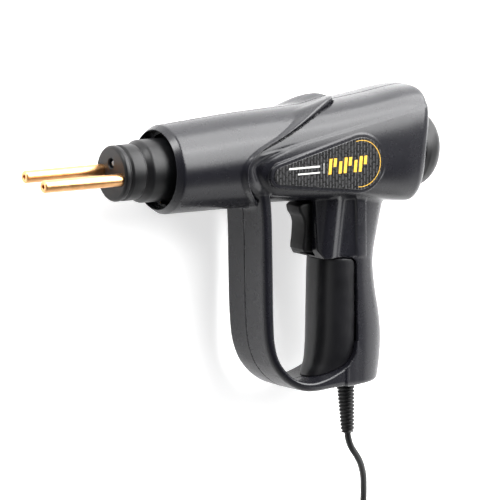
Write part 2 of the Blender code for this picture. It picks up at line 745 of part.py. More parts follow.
def trigger():
    """The trigger on its pin, with a lip at the top that shields the finger."""
    outline = [(100.6, -29.6), (100.9, -32.6), (104.4, -38.0), (104.8, -45.0), (103.8, -52.0),
               (103.6, -57.6), (105.4, -59.4), (111.0, -59.8), (116.0, -58.2),
               (TRIGGER_BACK, -54.0), (TRIGGER_BACK, -30.5), (116.6, -28.0), (112.0, -27.2),
               (103.0, -28.2)]
    hole = arc(PIVOT, PIVOT_RADIUS + GAP, 0, 330, 11)
    made = slab("trigger", [outline, hole], -TRIGGER_HALF, TRIGGER_HALF, DARK)
    rounding = made.modifiers.new("edges", "BEVEL")
    rounding.width = 0.9 * MM
    rounding.segments = 1
    rounding.limit_method = "ANGLE"
    rounding.angle_limit = math.radians(60)
    rod("trigger_pin", PIVOT_RADIUS, (*PIVOT, -13.0), (*PIVOT, 13.0), STEEL, sides=12)


def switch():
    """The switch behind the trigger, its plunger and the trigger's return spring."""
    body = box("switch_body", (SWITCH_FRONT, -57.0, -7.6), (146.0, -38.0, 7.6), DARK)
    boolean(body, rod("plunger_bore", 2.7, (SWITCH_FRONT - 2.0, PLUNGER_Y, 0),
                      (SWITCH_FRONT + 10.0, PLUNGER_Y, 0)))
    rod("switch_plunger", 2.4, (TRIGGER_BACK + 0.4, PLUNGER_Y, 0),
        (SWITCH_FRONT + 5.4, PLUNGER_Y, 0), NYLON)
    turns = 5
    steps = 10
    start = TRIGGER_BACK + 0.8
    length = SWITCH_FRONT - 0.8 - start
    points = []
    for i in range(turns * steps + 1):
        angle = 2 * math.pi * i / steps
        points.append((start + length * i / (turns * steps), -42.6 + 2.2 * math.cos(angle),
                       2.2 * math.sin(angle)))
    tube("trigger_spring", points, 0.35, STEEL, bevel_resolution=1)


# ---------------------------------------------------------------- grip insert, cap and labels

# Insert stations: y, front edge, half width
INSERT = (
    (-63.4, 117.8, 17.4),
    (-64.8, 116.0, 18.3),
    (-90.0, 115.2, 18.5),
    (-110.0, 114.8, 18.5),
    (-120.0, 114.2, 18.2),
    (-129.0, 112.8, 17.4),
    (-134.5, 110.4, 17.0),
    (-141.0, 108.0, 17.0),
)
INSERT_CENTRE = 132.0
INSERT_POINTS = 18


def grip_insert():
    """The half-round strip in front of the grip; its edges wrap the grip's front block."""
    inner = BLOCK_HALF + GAP
    rings = []
    for y, front, half in INSERT:
        ring = [(INSERT_BACK, y, half), (INSERT_BACK, y, inner), (GRIP_FRONT - GAP, y, inner),
                (GRIP_FRONT - GAP, y, -inner), (INSERT_BACK, y, -inner), (INSERT_BACK, y, -half)]
        for i in range(INSERT_POINTS + 1):
            angle = -math.pi / 2 + math.pi * i / INSERT_POINTS
            x = INSERT_CENTRE - (INSERT_CENTRE - front) * abs(math.cos(angle)) ** (2 / 2.2)
            ring.append((x, y, half * math.sin(angle)))
        rings.append(ring)
    made = loft("grip_insert", rings, SOFT)
    below = loop_bottom(GAP) + [(150.0, -116.0), (150.0, -150.0), (90.0, -150.0)]
    boolean(made, slab("below_insert", [below], -26.0, 26.0))


def rear_cap():
    """The domed cap behind the body, square to its rear wall and held by an inner flange."""
    profile = [(0.0, 20.0), (7.5, 19.4), (14.0, 17.6), (19.5, 15.0), (22.8, 12.4),
               (24.0, 9.6), (24.0, 1.2), (23.2, 0.4), (16.0, 0.4), (16.0, -4.1),
               (19.0, -4.1), (19.0, -7.0), (0.0, -7.0)]
    turn = (0.0, math.pi / 2, -math.atan(REAR_LEAN))
    turned("rear_cap", profile, (CAP_SEAT, 0, 0), turn, SHELL, steps=40)


def labels():
    """A thin teardrop label on each side panel."""
    for side, word in ((1, "left"), (-1, "right")):
        near, far = sorted((side * (PANEL_TOP + GAP), side * (PANEL_TOP + 0.7)))
        slab(f"label_{word}", [tapered_capsule()], near, far, LABEL)


# ---------------------------------------------------------------- mains side

def wiring():
    """Terminal block, leads inside the grip, and the cable's clamp."""
    box("terminal_block", (134.0, -88.0, -8.0), (152.0, -72.0, 8.0), NYLON)
    tube("inner_cable", smooth_through([(140.2, -135.1, 0), (140.6, -112.0, 0),
                                        (141.0, -88.3, 0)], 3), CORD_RADIUS, CORD)
    tube("wire_live", [(139.0, -71.7, 4.0), (138.6, -64.0, 4.2), (139.0, -57.3, 4.0)], 1.1, CORD)
    tube("wire_neutral", smooth_through([
        (148.0, -71.7, -5.0), (149.6, -62.0, -6.5), (149.8, -46.0, -9.0), (149.8, -28.0, -9.5),
        (149.6, -14.0, -9.0), (147.2, -8.0, -8.2), (143.9, -7.6, -8.0)], 3), 1.1, CORD)
    tube("wire_switched", smooth_through([
        (142.0, -37.4, 5.0), (145.0, -28.0, 7.0), (149.8, -10.0, 8.0), (149.8, 2.0, 8.0),
        (147.2, 9.4, 8.0), (143.9, 10.0, 8.0)], 3), 1.1, CORD)

    plate = box("cable_clamp", (CLAMP_SCREW_X[0] - 3.2, CLAMP_Y - 3.6, -5.4),
                (CLAMP_SCREW_X[1] + 3.2, CLAMP_Y + 3.6, -2.4), NYLON)
    for index, x in enumerate(CLAMP_SCREW_X):
        boolean(plate, rod(f"plate_hole_{index}", 1.5, (x, CLAMP_Y, -7.0), (x, CLAMP_Y, -1.0),
                           sides=12))
        profile = [(0.0, 6.5), (1.2, 6.5), (1.2, -5.7), (2.4, -5.7), (2.4, -7.2), (0.0, -7.2)]
        turned(f"cable_clamp_screw_{index + 1}", profile, (x, CLAMP_Y, 0), (0, 0, 0), STEEL,
               steps=12)


def strain_relief():
    """The tapered boot: an inner flange, a neck through the wall and a tapering tail."""
    end = RELIEF_LENGTH
    profile = [(0.0, end), (4.1, end), (4.35, end - 0.6), (5.65, 9.0), (5.65, 8.4), (5.8, 8.2),
               (5.8, 3.8), (8.0, 3.8), (8.0, 0.0), (0.0, 0.0)]
    turned("strain_relief", profile, (*RELIEF_TOP, 0), (math.pi / 2, 0.0, RELIEF_LEAN), DARK,
           steps=20)


# The cord's route from the boot to the coil, then from the coil to the plug
LEAD_ROUTE = (
    (142.4, -176.9, 0.0), (142.8, -179.9, -0.1), (143.8, -183.0, -0.3), (145.3, -186.0, -0.7),
    (147.3, -188.7, -1.3), (151.5, -193.4, -2.9), (156.2, -199.2, -5.8), (161.4, -207.4, -10.8),
    (166.4, -218.2, -17.8), (170.6, -231.2, -24.4), (173.4, -245.2, -28.1), (174.4, -259.1, -28.9),
)
TAIL_ROUTE = (
    (128.0, -305.7, -17.0), (123.0, -306.1, -18.8), (117.5, -306.4, -21.0), (112.0, -306.5, -23.0),
    (108.0, -306.5, -23.9), (105.3, -306.5, -24.1),
)


def above_floor(points):
    """The cord's points, none lower than where the cord rests on the floor."""
    return [(x, y, max(z, FLOOR + CORD_RADIUS)) for x, y, z in points]


def cord():
    """The free cord: lead, coil with its tie, and tail."""
    tube("cord_lead", above_floor(smooth_through(LEAD_ROUTE, 3)), CORD_RADIUS, CORD)
    tube("cord_tail", above_floor(smooth_through(TAIL_ROUTE, 2)), CORD_RADIUS, CORD)
    top = FLOOR + COIL_HIGH
    profile = [(COIL_OUTER - 2.0, top), (COIL_OUTER, top - 2.0), (COIL_OUTER, FLOOR + 1.0),
               (COIL_OUTER - 1.0, FLOOR), (COIL_INNER + 1.0, FLOOR), (COIL_INNER, FLOOR + 1.0),
               (COIL_INNER, top - 2.0), (COIL_INNER + 2.0, top)]
    turned("cord_coil", profile, (*COIL_CENTRE, 0), (0, 0, 0), CORD, steps=40, ring=True)

    x, y = COIL_CENTRE
    thick = 1.2
    outer = COIL_OUTER + GAP
    inner = COIL_INNER - 0.6
    over = top + GAP
    outline = [(-outer - thick, FLOOR + GAP), (-outer, FLOOR + GAP), (-outer, over),
               (-inner, over), (-inner, FLOOR + GAP), (-inner + thick, FLOOR + GAP),
               (-inner + thick, over + thick), (-outer - thick, over + thick)]
    tie = slab("cord_tie", [[(x + dx, z) for dx, z in outline]], -3.0, 3.0, DARK)
    on_xz(tie, y)


def plug():
    """A flat two-pin plug lying beside the coil."""
    middle = FLOOR + PLUG_HALF_HEIGHT
    rings = []
    for x, half_y, half_z in ((PLUG_X[1], 3.6, 3.6), (PLUG_X[1] - 9.0, 5.0, 4.6),
                              (PLUG_X[1] - 14.0, 10.0, 6.2), (PLUG_X[1] - 19.0, 15.5, 6.9),
                              (PLUG_X[0] + 1.0, PLUG_HALF_WIDTH, PLUG_HALF_HEIGHT),
                              (PLUG_X[0], PLUG_HALF_WIDTH - 1.0, PLUG_HALF_HEIGHT - 1.0)):
        station = (half_y, -half_y, half_z, 3.2)
        ring = []
        for i in range(24):
            _, y, z = section_point(x, 2 * math.pi * i / 24, station)
            ring.append((x, PLUG_Y + y, middle + z))
        rings.append(ring)
    loft("plug_body", rings, DARK)
    for side, word in ((1, "upper"), (-1, "lower")):
        y = PLUG_Y + side * PIN_SPACING / 2
        rod(f"plug_pin_{word}", 2.0, (PLUG_X[0] - 19.0, y, middle), (PLUG_X[0] - GAP, y, middle))


def main():
    """Build every piece."""
    steps = housing_cutters()
    housing_half("housing_left", steps, 1)
    housing_half("housing_right", steps, -1)
    for index, (x, y, _) in enumerate(SCREWS):
        housing_screw(index + 1, x, y)
    nose()
    electrodes()
    lamp()
    transformer()
    trigger()
    switch()
    grip_insert()
    rear_cap()
    labels()
    wiring()
    strain_relief()
    cord()
    plug()


main()
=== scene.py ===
"""Looks of the hot stapler: its fine meshes, materials, light and camera.

Shapes are written in the tool's own millimetres: x runs back from the muzzle, y runs up from the
grip to the barrel and z runs out of the tool's left side, which is also up from the floor.
"""
import math

import bmesh
import bpy
import numpy as np
from mathutils import Matrix, Vector


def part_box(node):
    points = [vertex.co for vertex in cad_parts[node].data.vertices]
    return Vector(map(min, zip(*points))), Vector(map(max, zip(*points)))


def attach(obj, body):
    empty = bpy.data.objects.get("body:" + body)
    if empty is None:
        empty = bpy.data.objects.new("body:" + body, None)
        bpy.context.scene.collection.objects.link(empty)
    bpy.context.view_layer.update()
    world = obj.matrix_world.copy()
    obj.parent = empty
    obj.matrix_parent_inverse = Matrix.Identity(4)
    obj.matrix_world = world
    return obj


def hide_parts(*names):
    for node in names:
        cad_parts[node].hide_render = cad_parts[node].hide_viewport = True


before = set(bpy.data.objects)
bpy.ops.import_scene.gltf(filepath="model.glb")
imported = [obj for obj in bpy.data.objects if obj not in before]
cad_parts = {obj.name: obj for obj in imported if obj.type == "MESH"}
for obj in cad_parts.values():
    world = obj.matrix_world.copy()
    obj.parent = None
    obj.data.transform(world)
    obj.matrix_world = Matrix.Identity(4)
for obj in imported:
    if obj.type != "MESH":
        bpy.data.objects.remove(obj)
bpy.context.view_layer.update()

MM = 0.001
SIDES = ((1, "left"), (-1, "right"))      # which way z runs on each side

# Where the tool's zero is in the shared frame
NOSE_LOW, NOSE_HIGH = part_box("nose_insulator")
SHIFT = Vector((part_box("electrode_left")[0].x / MM + 88.0,
                (NOSE_LOW.y + NOSE_HIGH.y) / 2 / MM,
                (NOSE_LOW.z + NOSE_HIGH.z) / 2 / MM))
TOOL = Matrix.Translation(SHIFT * MM)
FLOOR = -31.0


def point(x, y, z):
    """A point of the tool in the shared frame, in metres."""
    return (Vector((x, y, z)) + SHIFT) * MM


# ---- camera

VIEW_TURN = math.radians(33.0)       # the muzzle comes this far towards the viewer
VIEW_TILT = math.radians(8.5)        # and the viewer looks down on the barrel this much
VIEW_SCALE = 0.62                    # millimetres a pixel in the plane of the seam
VIEW_FOCUS = 9000.0                  # focal length in pixels
VIEW_AIM = (69.5, -55.5, 0.0)
FRAME_PIXELS = 500.0
SENSOR_WIDTH = 36.0


def camera():
    """The camera at the photograph's angle, far away with a long lens."""
    cos_turn, sin_turn = math.cos(VIEW_TURN), math.sin(VIEW_TURN)
    cos_tilt, sin_tilt = math.cos(VIEW_TILT), math.sin(VIEW_TILT)
    right = Vector((cos_turn, 0.0, sin_turn))
    up = Vector((sin_tilt * sin_turn, cos_tilt, -sin_tilt * cos_turn))
    ahead = Vector((sin_turn * cos_tilt, -sin_tilt, -cos_turn * cos_tilt))
    distance = VIEW_SCALE * MM * VIEW_FOCUS
    data = bpy.data.cameras.new("camera")
    data.sensor_width = SENSOR_WIDTH
    data.lens = SENSOR_WIDTH * VIEW_FOCUS / FRAME_PIXELS
    data.clip_start = 0.1
    data.clip_end = 40.0
    made = bpy.data.objects.new("camera", data)
    bpy.context.scene.collection.objects.link(made)
    turn = Matrix((right, up, -ahead)).transposed().to_4x4()
    made.matrix_world = Matrix.Translation(point(*VIEW_AIM) - ahead * distance) @ turn
    bpy.context.scene.camera = made


camera()


# ---- materials

class Nodes:
    """A material's node tree, with short ways to add and link nodes."""

    def __init__(self, name):
        self.material = bpy.data.materials.new(name)
        self.material.use_nodes = True
        self.tree = self.material.node_tree
        self.shader = self.tree.nodes["Principled BSDF"]
        self.place = None

    def set(self, **values):
        """Constants on the shader's own sockets; underscores stand for spaces."""
        for key, value in values.items():
            self.shader.inputs[key.replace("_", " ")].default_value = value
        return self

    def add(self, kind, **values):
        """A node with its properties and input defaults set."""
        node = self.tree.nodes.new(kind)
        for key, value in values.items():
            socket = node.inputs.get(key.replace("_", " "))
            if socket is not None and not hasattr(node, key):
                socket.default_value = value
            else:
                setattr(node, key, value)
        return node

    def link(self, source, target):
        self.tree.links.new(source, target)

    def coordinates(self, scale=(1.0, 1.0, 1.0)):
        """Object coordinates, stretched if asked."""
        if self.place is None:
            self.place = self.add("ShaderNodeTexCoord")
        if tuple(scale) == (1.0, 1.0, 1.0):
            return self.place.outputs["Object"]
        mapping = self.add("ShaderNodeMapping", Scale=scale)
        self.link(self.place.outputs["Object"], mapping.inputs["Vector"])
        return mapping.outputs["Vector"]

    def noise(self, scale, detail=3.0, stretch=(1.0, 1.0, 1.0)):
        """A noise value over object coordinates; scale is in features a metre."""
        node = self.add("ShaderNodeTexNoise", Scale=scale, Detail=detail)
        self.link(self.coordinates(stretch), node.inputs["Vector"])
        return node.outputs["Fac"]

    def colour(self, value, low, high, start=0.3, end=0.7):
        """A colour ramp between two colours by a value, on the base colour."""
        ramp = self.add("ShaderNodeValToRGB")
        for stop, place, tint in zip(ramp.color_ramp.elements, (start, end), (low, high)):
            stop.position = place
            stop.color = (*tint, 1.0)
        self.link(value, ramp.inputs["Fac"])
        self.link(ramp.outputs["Color"], self.shader.inputs["Base Color"])
        return self

    def roughness(self, value, low, high):
        """A roughness between two limits, from the middle of a value's range."""
        node = self.add("ShaderNodeMapRange", From_Min=0.3, From_Max=0.7, To_Min=low, To_Max=high)
        self.link(value, node.inputs["Value"])
        self.link(node.outputs["Result"], self.shader.inputs["Roughness"])
        return self

    def bump(self, value, height, strength):
        """Relief in metres from a value."""
        node = self.add("ShaderNodeBump", Strength=strength, Distance=height)
        self.link(value, node.inputs["Height"])
        self.link(node.outputs["Normal"], self.shader.inputs["Normal"])
        return self


def moulded(name, dark, light, smooth, rough, grain, depth, specular=0.5):
    """Moulded plastic: faint cloudy tint, uneven gloss and a fine spark-eroded grain."""
    made = Nodes(name).set(Specular_IOR_Level=specular)
    made.colour(made.noise(45.0, 4.0), dark, light)
    made.roughness(made.noise(160.0, 5.0), smooth, rough)
    made.bump(made.noise(grain, 2.0), depth, 0.6)
    return made.material


def metal(name, dark, light, smooth, rough, stretch, lines=9000.0, depth=0.000006):
    """Metal with tarnish in soft patches and drawing or milling lines along one direction."""
    made = Nodes(name).set(Metallic=1.0)
    made.colour(made.noise(140.0, 5.0), dark, light)
    made.roughness(made.noise(lines, 3.0, stretch), smooth, rough)
    made.bump(made.noise(lines, 2.0, stretch), depth, 0.5)
    return made.material


SHELL = moulded("shell_plastic", (0.0060, 0.0060, 0.0085), (0.0078, 0.0078, 0.0108),
                0.26, 0.28, 2600.0, 0.0000001, 0.40)
SHELL_DARK = moulded("nose_plastic", (0.0028, 0.0028, 0.0033), (0.0040, 0.0040, 0.0048),
                     0.36, 0.44, 3200.0, 0.000003, 0.28)
DARK = moulded("dark_plastic", (0.0030, 0.0030, 0.0032), (0.0045, 0.0045, 0.0050),
               0.38, 0.50, 3000.0, 0.000008, 0.30)
SOFT = moulded("grip_plastic", (0.0055, 0.0055, 0.0065), (0.0080, 0.0080, 0.0095),
               0.30, 0.38, 3000.0, 0.000004, 0.40)
NYLON = moulded("nylon", (0.60, 0.58, 0.50), (0.70, 0.68, 0.60), 0.40, 0.55, 2500.0, 0.00002)
CORD = moulded("cord_rubber", (0.0030, 0.0030, 0.0032), (0.0050, 0.0050, 0.0055),
               0.40, 0.52, 3500.0, 0.00001, 0.35)
BRASS = metal("drawn_brass", (0.70, 0.36, 0.15), (0.86, 0.48, 0.22), 0.26, 0.38,
              (0.03, 1.0, 1.0))
BLOCK = metal("milled_brass", (0.60, 0.44, 0.20), (0.72, 0.54, 0.27), 0.28, 0.45,
              (1.0, 0.05, 1.0))
COPPER = metal("copper_bar", (0.55, 0.23, 0.12), (0.75, 0.36, 0.20), 0.25, 0.45,
               (0.04, 1.0, 1.0))
STEEL = metal("plated_steel", (0.42, 0.42, 0.43), (0.58, 0.58, 0.59), 0.25, 0.42,
              (1.0, 1.0, 0.1))
LAMINATION = metal("laminations", (0.10, 0.10, 0.11), (0.24, 0.24, 0.25), 0.35, 0.60,
                   (1.0, 0.01, 0.01), 2200.0, 0.00015)
WINDING = metal("enamelled_wire", (0.32, 0.08, 0.03), (0.58, 0.20, 0.08), 0.22, 0.45,
                (0.02, 1.0, 0.02), 2600.0, 0.0002)
BOARD = moulded("circuit_board", (0.015, 0.10, 0.03), (0.03, 0.17, 0.06),
                0.30, 0.45, 900.0, 0.00003)

CAD_FINISHES = (
    (BLOCK, ("electrode_clamp_left", "electrode_clamp_right")),
    (COPPER, ("secondary_bar",)),
    (LAMINATION, ("transformer_core",)),
    (WINDING, ("primary_coil_upper", "primary_coil_lower")),
    (BOARD, ("led_board",)),
    (DARK, ("switch_body",)),
    (NYLON, ("coil_bobbin", "switch_plunger", "terminal_block", "cable_clamp")),
    (CORD, ("wire_live", "wire_neutral", "wire_switched", "inner_cable")),
    (STEEL, ("clamp_screw_left", "clamp_screw_right", "thermal_cutout", "trigger_pin",
             "trigger_spring", "cable_clamp_screw_1", "cable_clamp_screw_2")),
    (STEEL, tuple(f"housing_screw_{i}" for i in range(1, 8))),
)


def finish_cad():
    """Procedural finishes for the CAD nodes that stay."""
    for finish, names in CAD_FINISHES:
        for name in names:
            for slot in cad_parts[name].material_slots:
                slot.material = finish


finish_cad()


# ---- general helpers

def keep(made, body, slot, *nodes):
    """Ride on a body and replace CAD nodes. The slot argument is not used."""
    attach(made, body)
    if nodes:
        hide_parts(*nodes)
    return made


def add_object(name, data, finish=None):
    """A new object on the tool's frame, in the scene."""
    made = bpy.data.objects.new(name, data)
    bpy.context.scene.collection.objects.link(made)
    made.matrix_world = TOOL
    if finish is not None:
        data.materials.append(finish)
    return made


def crisp(mesh, sharp):
    """Smooth shading but for the edges above an angle in degrees."""
    mesh.shade_smooth()
    mesh.set_sharp_from_angle(angle=math.radians(sharp))


def as_object(name, bm, finish, sharp=None):
    """An object from a finished bmesh, smooth but for the edges above the sharp angle."""
    mesh = bpy.data.meshes.new(name)
    bm.to_mesh(mesh)
    bm.free()
    if sharp is not None:
        crisp(mesh, sharp)
    return add_object(name, mesh, finish)


def bridge(bm, rings, wanted=lambda i, j: True):
    """Quads between each ring of vertices and the next, where they are wanted."""
    for ring, following in zip(rings, rings[1:]):
        for i in range(len(ring)):
            j = (i + 1) % len(ring)
            if wanted(i, j):
                bm.faces.new((ring[i], ring[j], following[j], following[i]))


def inset_ring(bm, outline_points, inset, place):
    """Vertices round a closed outline moved inwards; place gives each one its x, y and z."""
    middle = [Vector(p) for p in outline_points]
    ring = []
    for i, here in enumerate(middle):
        run = (middle[(i + 1) % len(middle)] - middle[i - 1]).normalized()
        moved = here + Vector((-run.y, run.x)) * inset
        ring.append(bm.verts.new([value * MM for value in place(moved.x, moved.y)]))
    return ring


def slab(name, rings_of, finish, sharp):
    """A closed solid from rings that rings_of adds to a bmesh, flat at both ends."""
    bm = bmesh.new()
    rings = rings_of(bm)
    bridge(bm, rings)
    bm.faces.new(rings[0])
    bm.faces.new(rings[-1])
    bmesh.ops.triangulate(bm, faces=[f for f in bm.faces if len(f.verts) > 4])
    bmesh.ops.recalc_face_normals(bm, faces=bm.faces)
    return as_object(name, bm, finish, sharp)


def smooth_through(points, per_span):
    """Points on a Catmull-Rom curve through the given points, of any dimension."""
    points = [Vector(p) for p in points]
    ends = [2 * points[0] - points[1]] + points + [2 * points[-1] - points[-2]]
    made = []
    for i in range(1, len(ends) - 2):
        before, here, after, later = ends[i - 1:i + 3]
        for k in range(per_span):
            t = k / per_span
            made.append(0.5 * (2 * here + (after - before) * t
                               + (2 * before - 5 * here + 4 * after - later) * t * t
                               + (3 * here - before - 3 * after + later) * t ** 3))
    made.append(points[-1])
    return made


def lathe(name, profile, finish, turn, at=(0.0, 0.0, 0.0), steps=96, sharp=30.0):
    """A closed solid turned from (radius, height) points, placed by a turn and a place.

    The profile runs from the top down the outer side.
    """
    bm = bmesh.new()
    rows = []
    for radius, height in profile:
        row = []
        for i in range(steps if radius >= AXIS_RADIUS else 1):
            angle = 2 * math.pi * i / steps
            reach = radius if radius >= AXIS_RADIUS else 0.0
            row.append(bm.verts.new((reach * math.cos(angle) * MM,
                                     reach * math.sin(angle) * MM, height * MM)))
        rows.append(row)
    for upper, lower in zip(rows, rows[1:]):
        for i in range(steps):
            j = (i + 1) % steps
            corners = (upper[i % len(upper)], lower[i % len(lower)],
                       lower[j % len(lower)], upper[j % len(upper)])
            bm.faces.new(list(dict.fromkeys(corners)))
    bmesh.ops.recalc_face_normals(bm, faces=bm.faces)
    bmesh.ops.transform(bm, matrix=Matrix.Translation(Vector(at) * MM) @ turn.to_4x4(),
                        verts=bm.verts)
    return as_object(name, bm, finish, sharp)


AXIS_RADIUS = 1e-6        # below this radius a turned profile's point lies on the axis
BACKWARD = Matrix.Rotation(math.pi / 2, 3, "Y")       # heights point back along x
FORWARD = Matrix.Rotation(-math.pi / 2, 3, "Y")       # heights point out of the muzzle


def rounded(profile, radii, count=5):
    """A profile with its inner corners rounded; radii is one number a corner."""
    points = [Vector(p) for p in profile]
    made = [points[0]]
    for before, here, after, radius in zip(points, points[1:], points[2:], radii[1:]):
        back = before - here
        ahead = after - here
        reach = min(radius, back.length * 0.45, ahead.length * 0.45)
        start = here + back.normalized() * reach
        end = here + ahead.normalized() * reach
        if reach < 0.02:
            made.append(here)
            continue
        for i in range(count + 1):
            t = i / count
            made.append(start * (1 - t) ** 2 + here * 2 * t * (1 - t) + end * t * t)
    made.append(points[-1])
    return [tuple(p) for p in made]


def settle(made):
    """Apply an object's modifiers for good."""
    before = made.data
    bpy.context.view_layer.update()
    evaluated = made.evaluated_get(bpy.context.evaluated_depsgraph_get())
    made.data = bpy.data.meshes.new_from_object(evaluated)
    made.modifiers.clear()
    bpy.data.meshes.remove(before)


def cut(made, *cutters):
    """Subtract other meshes for good, and delete them."""
    for cutter in cutters:
        step = made.modifiers.new(cutter.name, "BOOLEAN")
        step.object = cutter
        step.operation = "DIFFERENCE"
        step.solver = "EXACT"
    settle(made)
    for cutter in cutters:
        bpy.data.objects.remove(cutter, do_unlink=True)
    return made


# ---- cord

CORD_RADIUS = 2.1
LEAD_ROUTE = (
    (142.4, -176.9, 0.0), (142.8, -179.9, -0.1), (143.8, -183.0, -0.3), (145.3, -186.0, -0.7),
    (147.3, -188.7, -1.3), (151.5, -193.4, -2.9), (156.2, -199.2, -5.8), (161.4, -207.4, -10.8),
    (166.4, -218.2, -17.8), (170.6, -231.2, -24.4), (173.4, -245.2, -28.1), (174.4, -259.1, -28.9),
)
TAIL_ROUTE = (
    (128.0, -305.7, -17.0), (123.0, -306.1, -18.8), (117.5, -306.4, -21.0), (112.0, -306.5, -23.0),
    (108.0, -306.5, -23.9), (105.3, -306.5, -24.1),
)
COIL_CENTRE = (145.0, -276.0)
COIL_WIDE = 29.5          # centreline radius of the outermost turn
COIL_LAYERS = (-28.9, -24.68, -20.46, -16.24)
COIL_STEP = 4.6           # how much the radius changes a turn
LAYER_TURNS = 2.6
CLIMB_TURNS = 0.85 / 3    # from one layer to the next
TURN_POINTS = 32


def coil_points():
    """Four flat layers of turns, spiralling in and out by turns, clockwise from above."""
    made = []
    turned_so_far = 0.0
    inner = COIL_WIDE - COIL_STEP * LAYER_TURNS
    for layer, height in enumerate(COIL_LAYERS):
        start, end = (COIL_WIDE, inner) if layer % 2 == 0 else (inner, COIL_WIDE)
        count = round(LAYER_TURNS * TURN_POINTS)
        for i in range(count):
            share = i / count
            made.append((turned_so_far + LAYER_TURNS * share, start + (end - start) * share, height))
        turned_so_far += LAYER_TURNS
        if layer == len(COIL_LAYERS) - 1:
            made.append((turned_so_far, end, height))
            break
        count = round(CLIMB_TURNS * TURN_POINTS)
        rise = COIL_LAYERS[layer + 1] - height
        for i in range(count):
            share = i / count
            made.append((turned_so_far + CLIMB_TURNS * share, end,
                         height + rise * (0.5 - 0.5 * math.cos(math.pi * share))))
        turned_so_far += CLIMB_TURNS
    x, y = COIL_CENTRE
    return [(x + radius * math.cos(2 * math.pi * turns), y - radius * math.sin(2 * math.pi * turns), z)
            for turns, radius, z in made]


def cord_points():
    """The whole cord's centreline, from inside the boot to inside the plug."""
    lead = [(142.2, -172.0, 0.0)] + list(LEAD_ROUTE) + [(174.5, -268.0, -28.9)]
    tail = [(138.0, -305.5, -16.3)] + list(TAIL_ROUTE) + [(99.0, -306.5, -24.1)]
    coil = coil_points()
    route = ([tuple(p) for p in smooth_through(lead, 5)] + coil
             + [tuple(p) for p in smooth_through(tail, 5)])
    lowest = FLOOR + CORD_RADIUS
    return [(x, y, max(z, lowest)) for x, y, z in route]


def band(name, outline_points, y, half, finish):
    """A closed outline in the x-z plane, given width along y, with softened edges."""
    def rings(bm):
        return [inset_ring(bm, outline_points, inset, lambda x, z, dy=dy: (x, y + dy, z))
                for dy, inset in ((-half, 0.25), (-half + 0.25, 0.0), (half - 0.25, 0.0),
                                  (half, 0.25))]
    return slab(name, rings, finish, 40)


def arc(centre, radius, start, end, count):
    """Points on an arc; angles in degrees, 0 along x, 90 along y."""
    made = []
    for i in range(count + 1):
        angle = math.radians(start + (end - start) * i / count)
        made.append((centre[0] + radius * math.cos(angle), centre[1] + radius * math.sin(angle)))
    return made


STRAP_THICK = 1.2
STRAP_BEND = 2.0          # inner radius of the strap's two corners
STRAP_CLEAR = 0.3


def cord_tie():
    """A strap over the coil's turns."""
    x, y = COIL_CENTRE
    outer, inner = x - 31.9, x - 14.0
    low = FLOOR + STRAP_CLEAR
    high = FLOOR + 17.0 + STRAP_CLEAR - STRAP_BEND
    near = (outer + STRAP_BEND, high)
    far = (inner - STRAP_BEND, high)
    wide = STRAP_BEND + STRAP_THICK
    points = [(outer - STRAP_THICK, low), (outer, low)]
    points += arc(near, STRAP_BEND, 180, 90, 6) + arc(far, STRAP_BEND, 90, 0, 6)
    points += [(inner, low), (inner + STRAP_THICK, low)]
    points += arc(far, wide, 0, 90, 6) + arc(near, wide, 90, 180, 6)
    return band("coil_strap", points, y, 3.0, SOFT)


PLUG_Y = -306.5
PLUG_WIDE = 17.5          # half its width
PLUG_THICK = 6.9          # half its thickness
PLUG_MIDDLE = FLOOR + PLUG_THICK
RIDGES = (73.0, 84.0)
RIDGE_DEPTH = 0.45
PLUG_SIDES = 64
PLUG_ROUND = 2 / 3.2      # how square the plug's section is
PIN_OFFSET = 9.5
# x, half width and half thickness
PLUG_RINGS = (
    (105.0, 3.3, 3.3), (104.6, 3.6, 3.6), (96.0, 5.0, 4.6), (91.0, 10.0, 6.2), (86.0, 15.5, 6.9),
    (78.0, 17.4, 6.9), (71.0, 17.5, 6.9), (70.3, 17.2, 6.6), (70.0, 16.5, 5.9),
)


def loft(name, rings, finish, sharp=40.0):
    """A closed solid through rings of equal length, in millimetres."""
    bm = bmesh.new()
    loops = [[bm.verts.new(Vector(p) * MM) for p in ring] for ring in rings]
    bridge(bm, loops)
    for ring in (loops[0], loops[-1]):
        middle = bm.verts.new(sum((v.co for v in ring), Vector()) / len(ring))
        for i in range(len(ring)):
            bm.faces.new((ring[i], ring[(i + 1) % len(ring)], middle))
    bmesh.ops.recalc_face_normals(bm, faces=bm.faces)
    return as_object(name, bm, finish, sharp)


def plug_body():
    """A flat moulded plug whose neck has grip ridges."""
    first, last = RIDGES
    rings = []
    for x, half_y, half_z in smooth_through(PLUG_RINGS, 8):
        ridge = 0.0
        if first < x < last:
            turns = (x - first) / (last - first) * 5
            ridge = RIDGE_DEPTH * max(0.0, math.sin(turns * 2 * math.pi)) ** 2
        ring = []
        for i in range(PLUG_SIDES):
            angle = 2 * math.pi * i / PLUG_SIDES
            cos, sin = math.cos(angle), math.sin(angle)
            side = math.copysign(abs(cos) ** PLUG_ROUND, cos)
            rise = math.copysign(abs(sin) ** PLUG_ROUND, sin)
            ring.append((
                x, PLUG_Y + min(half_y, PLUG_WIDE) * side * (1 - ridge / PLUG_WIDE),
                PLUG_MIDDLE + min(half_z, PLUG_THICK) * rise * (1 - ridge / PLUG_THICK)))
        rings.append(ring)
    return loft("mains_plug", rings, DARK)


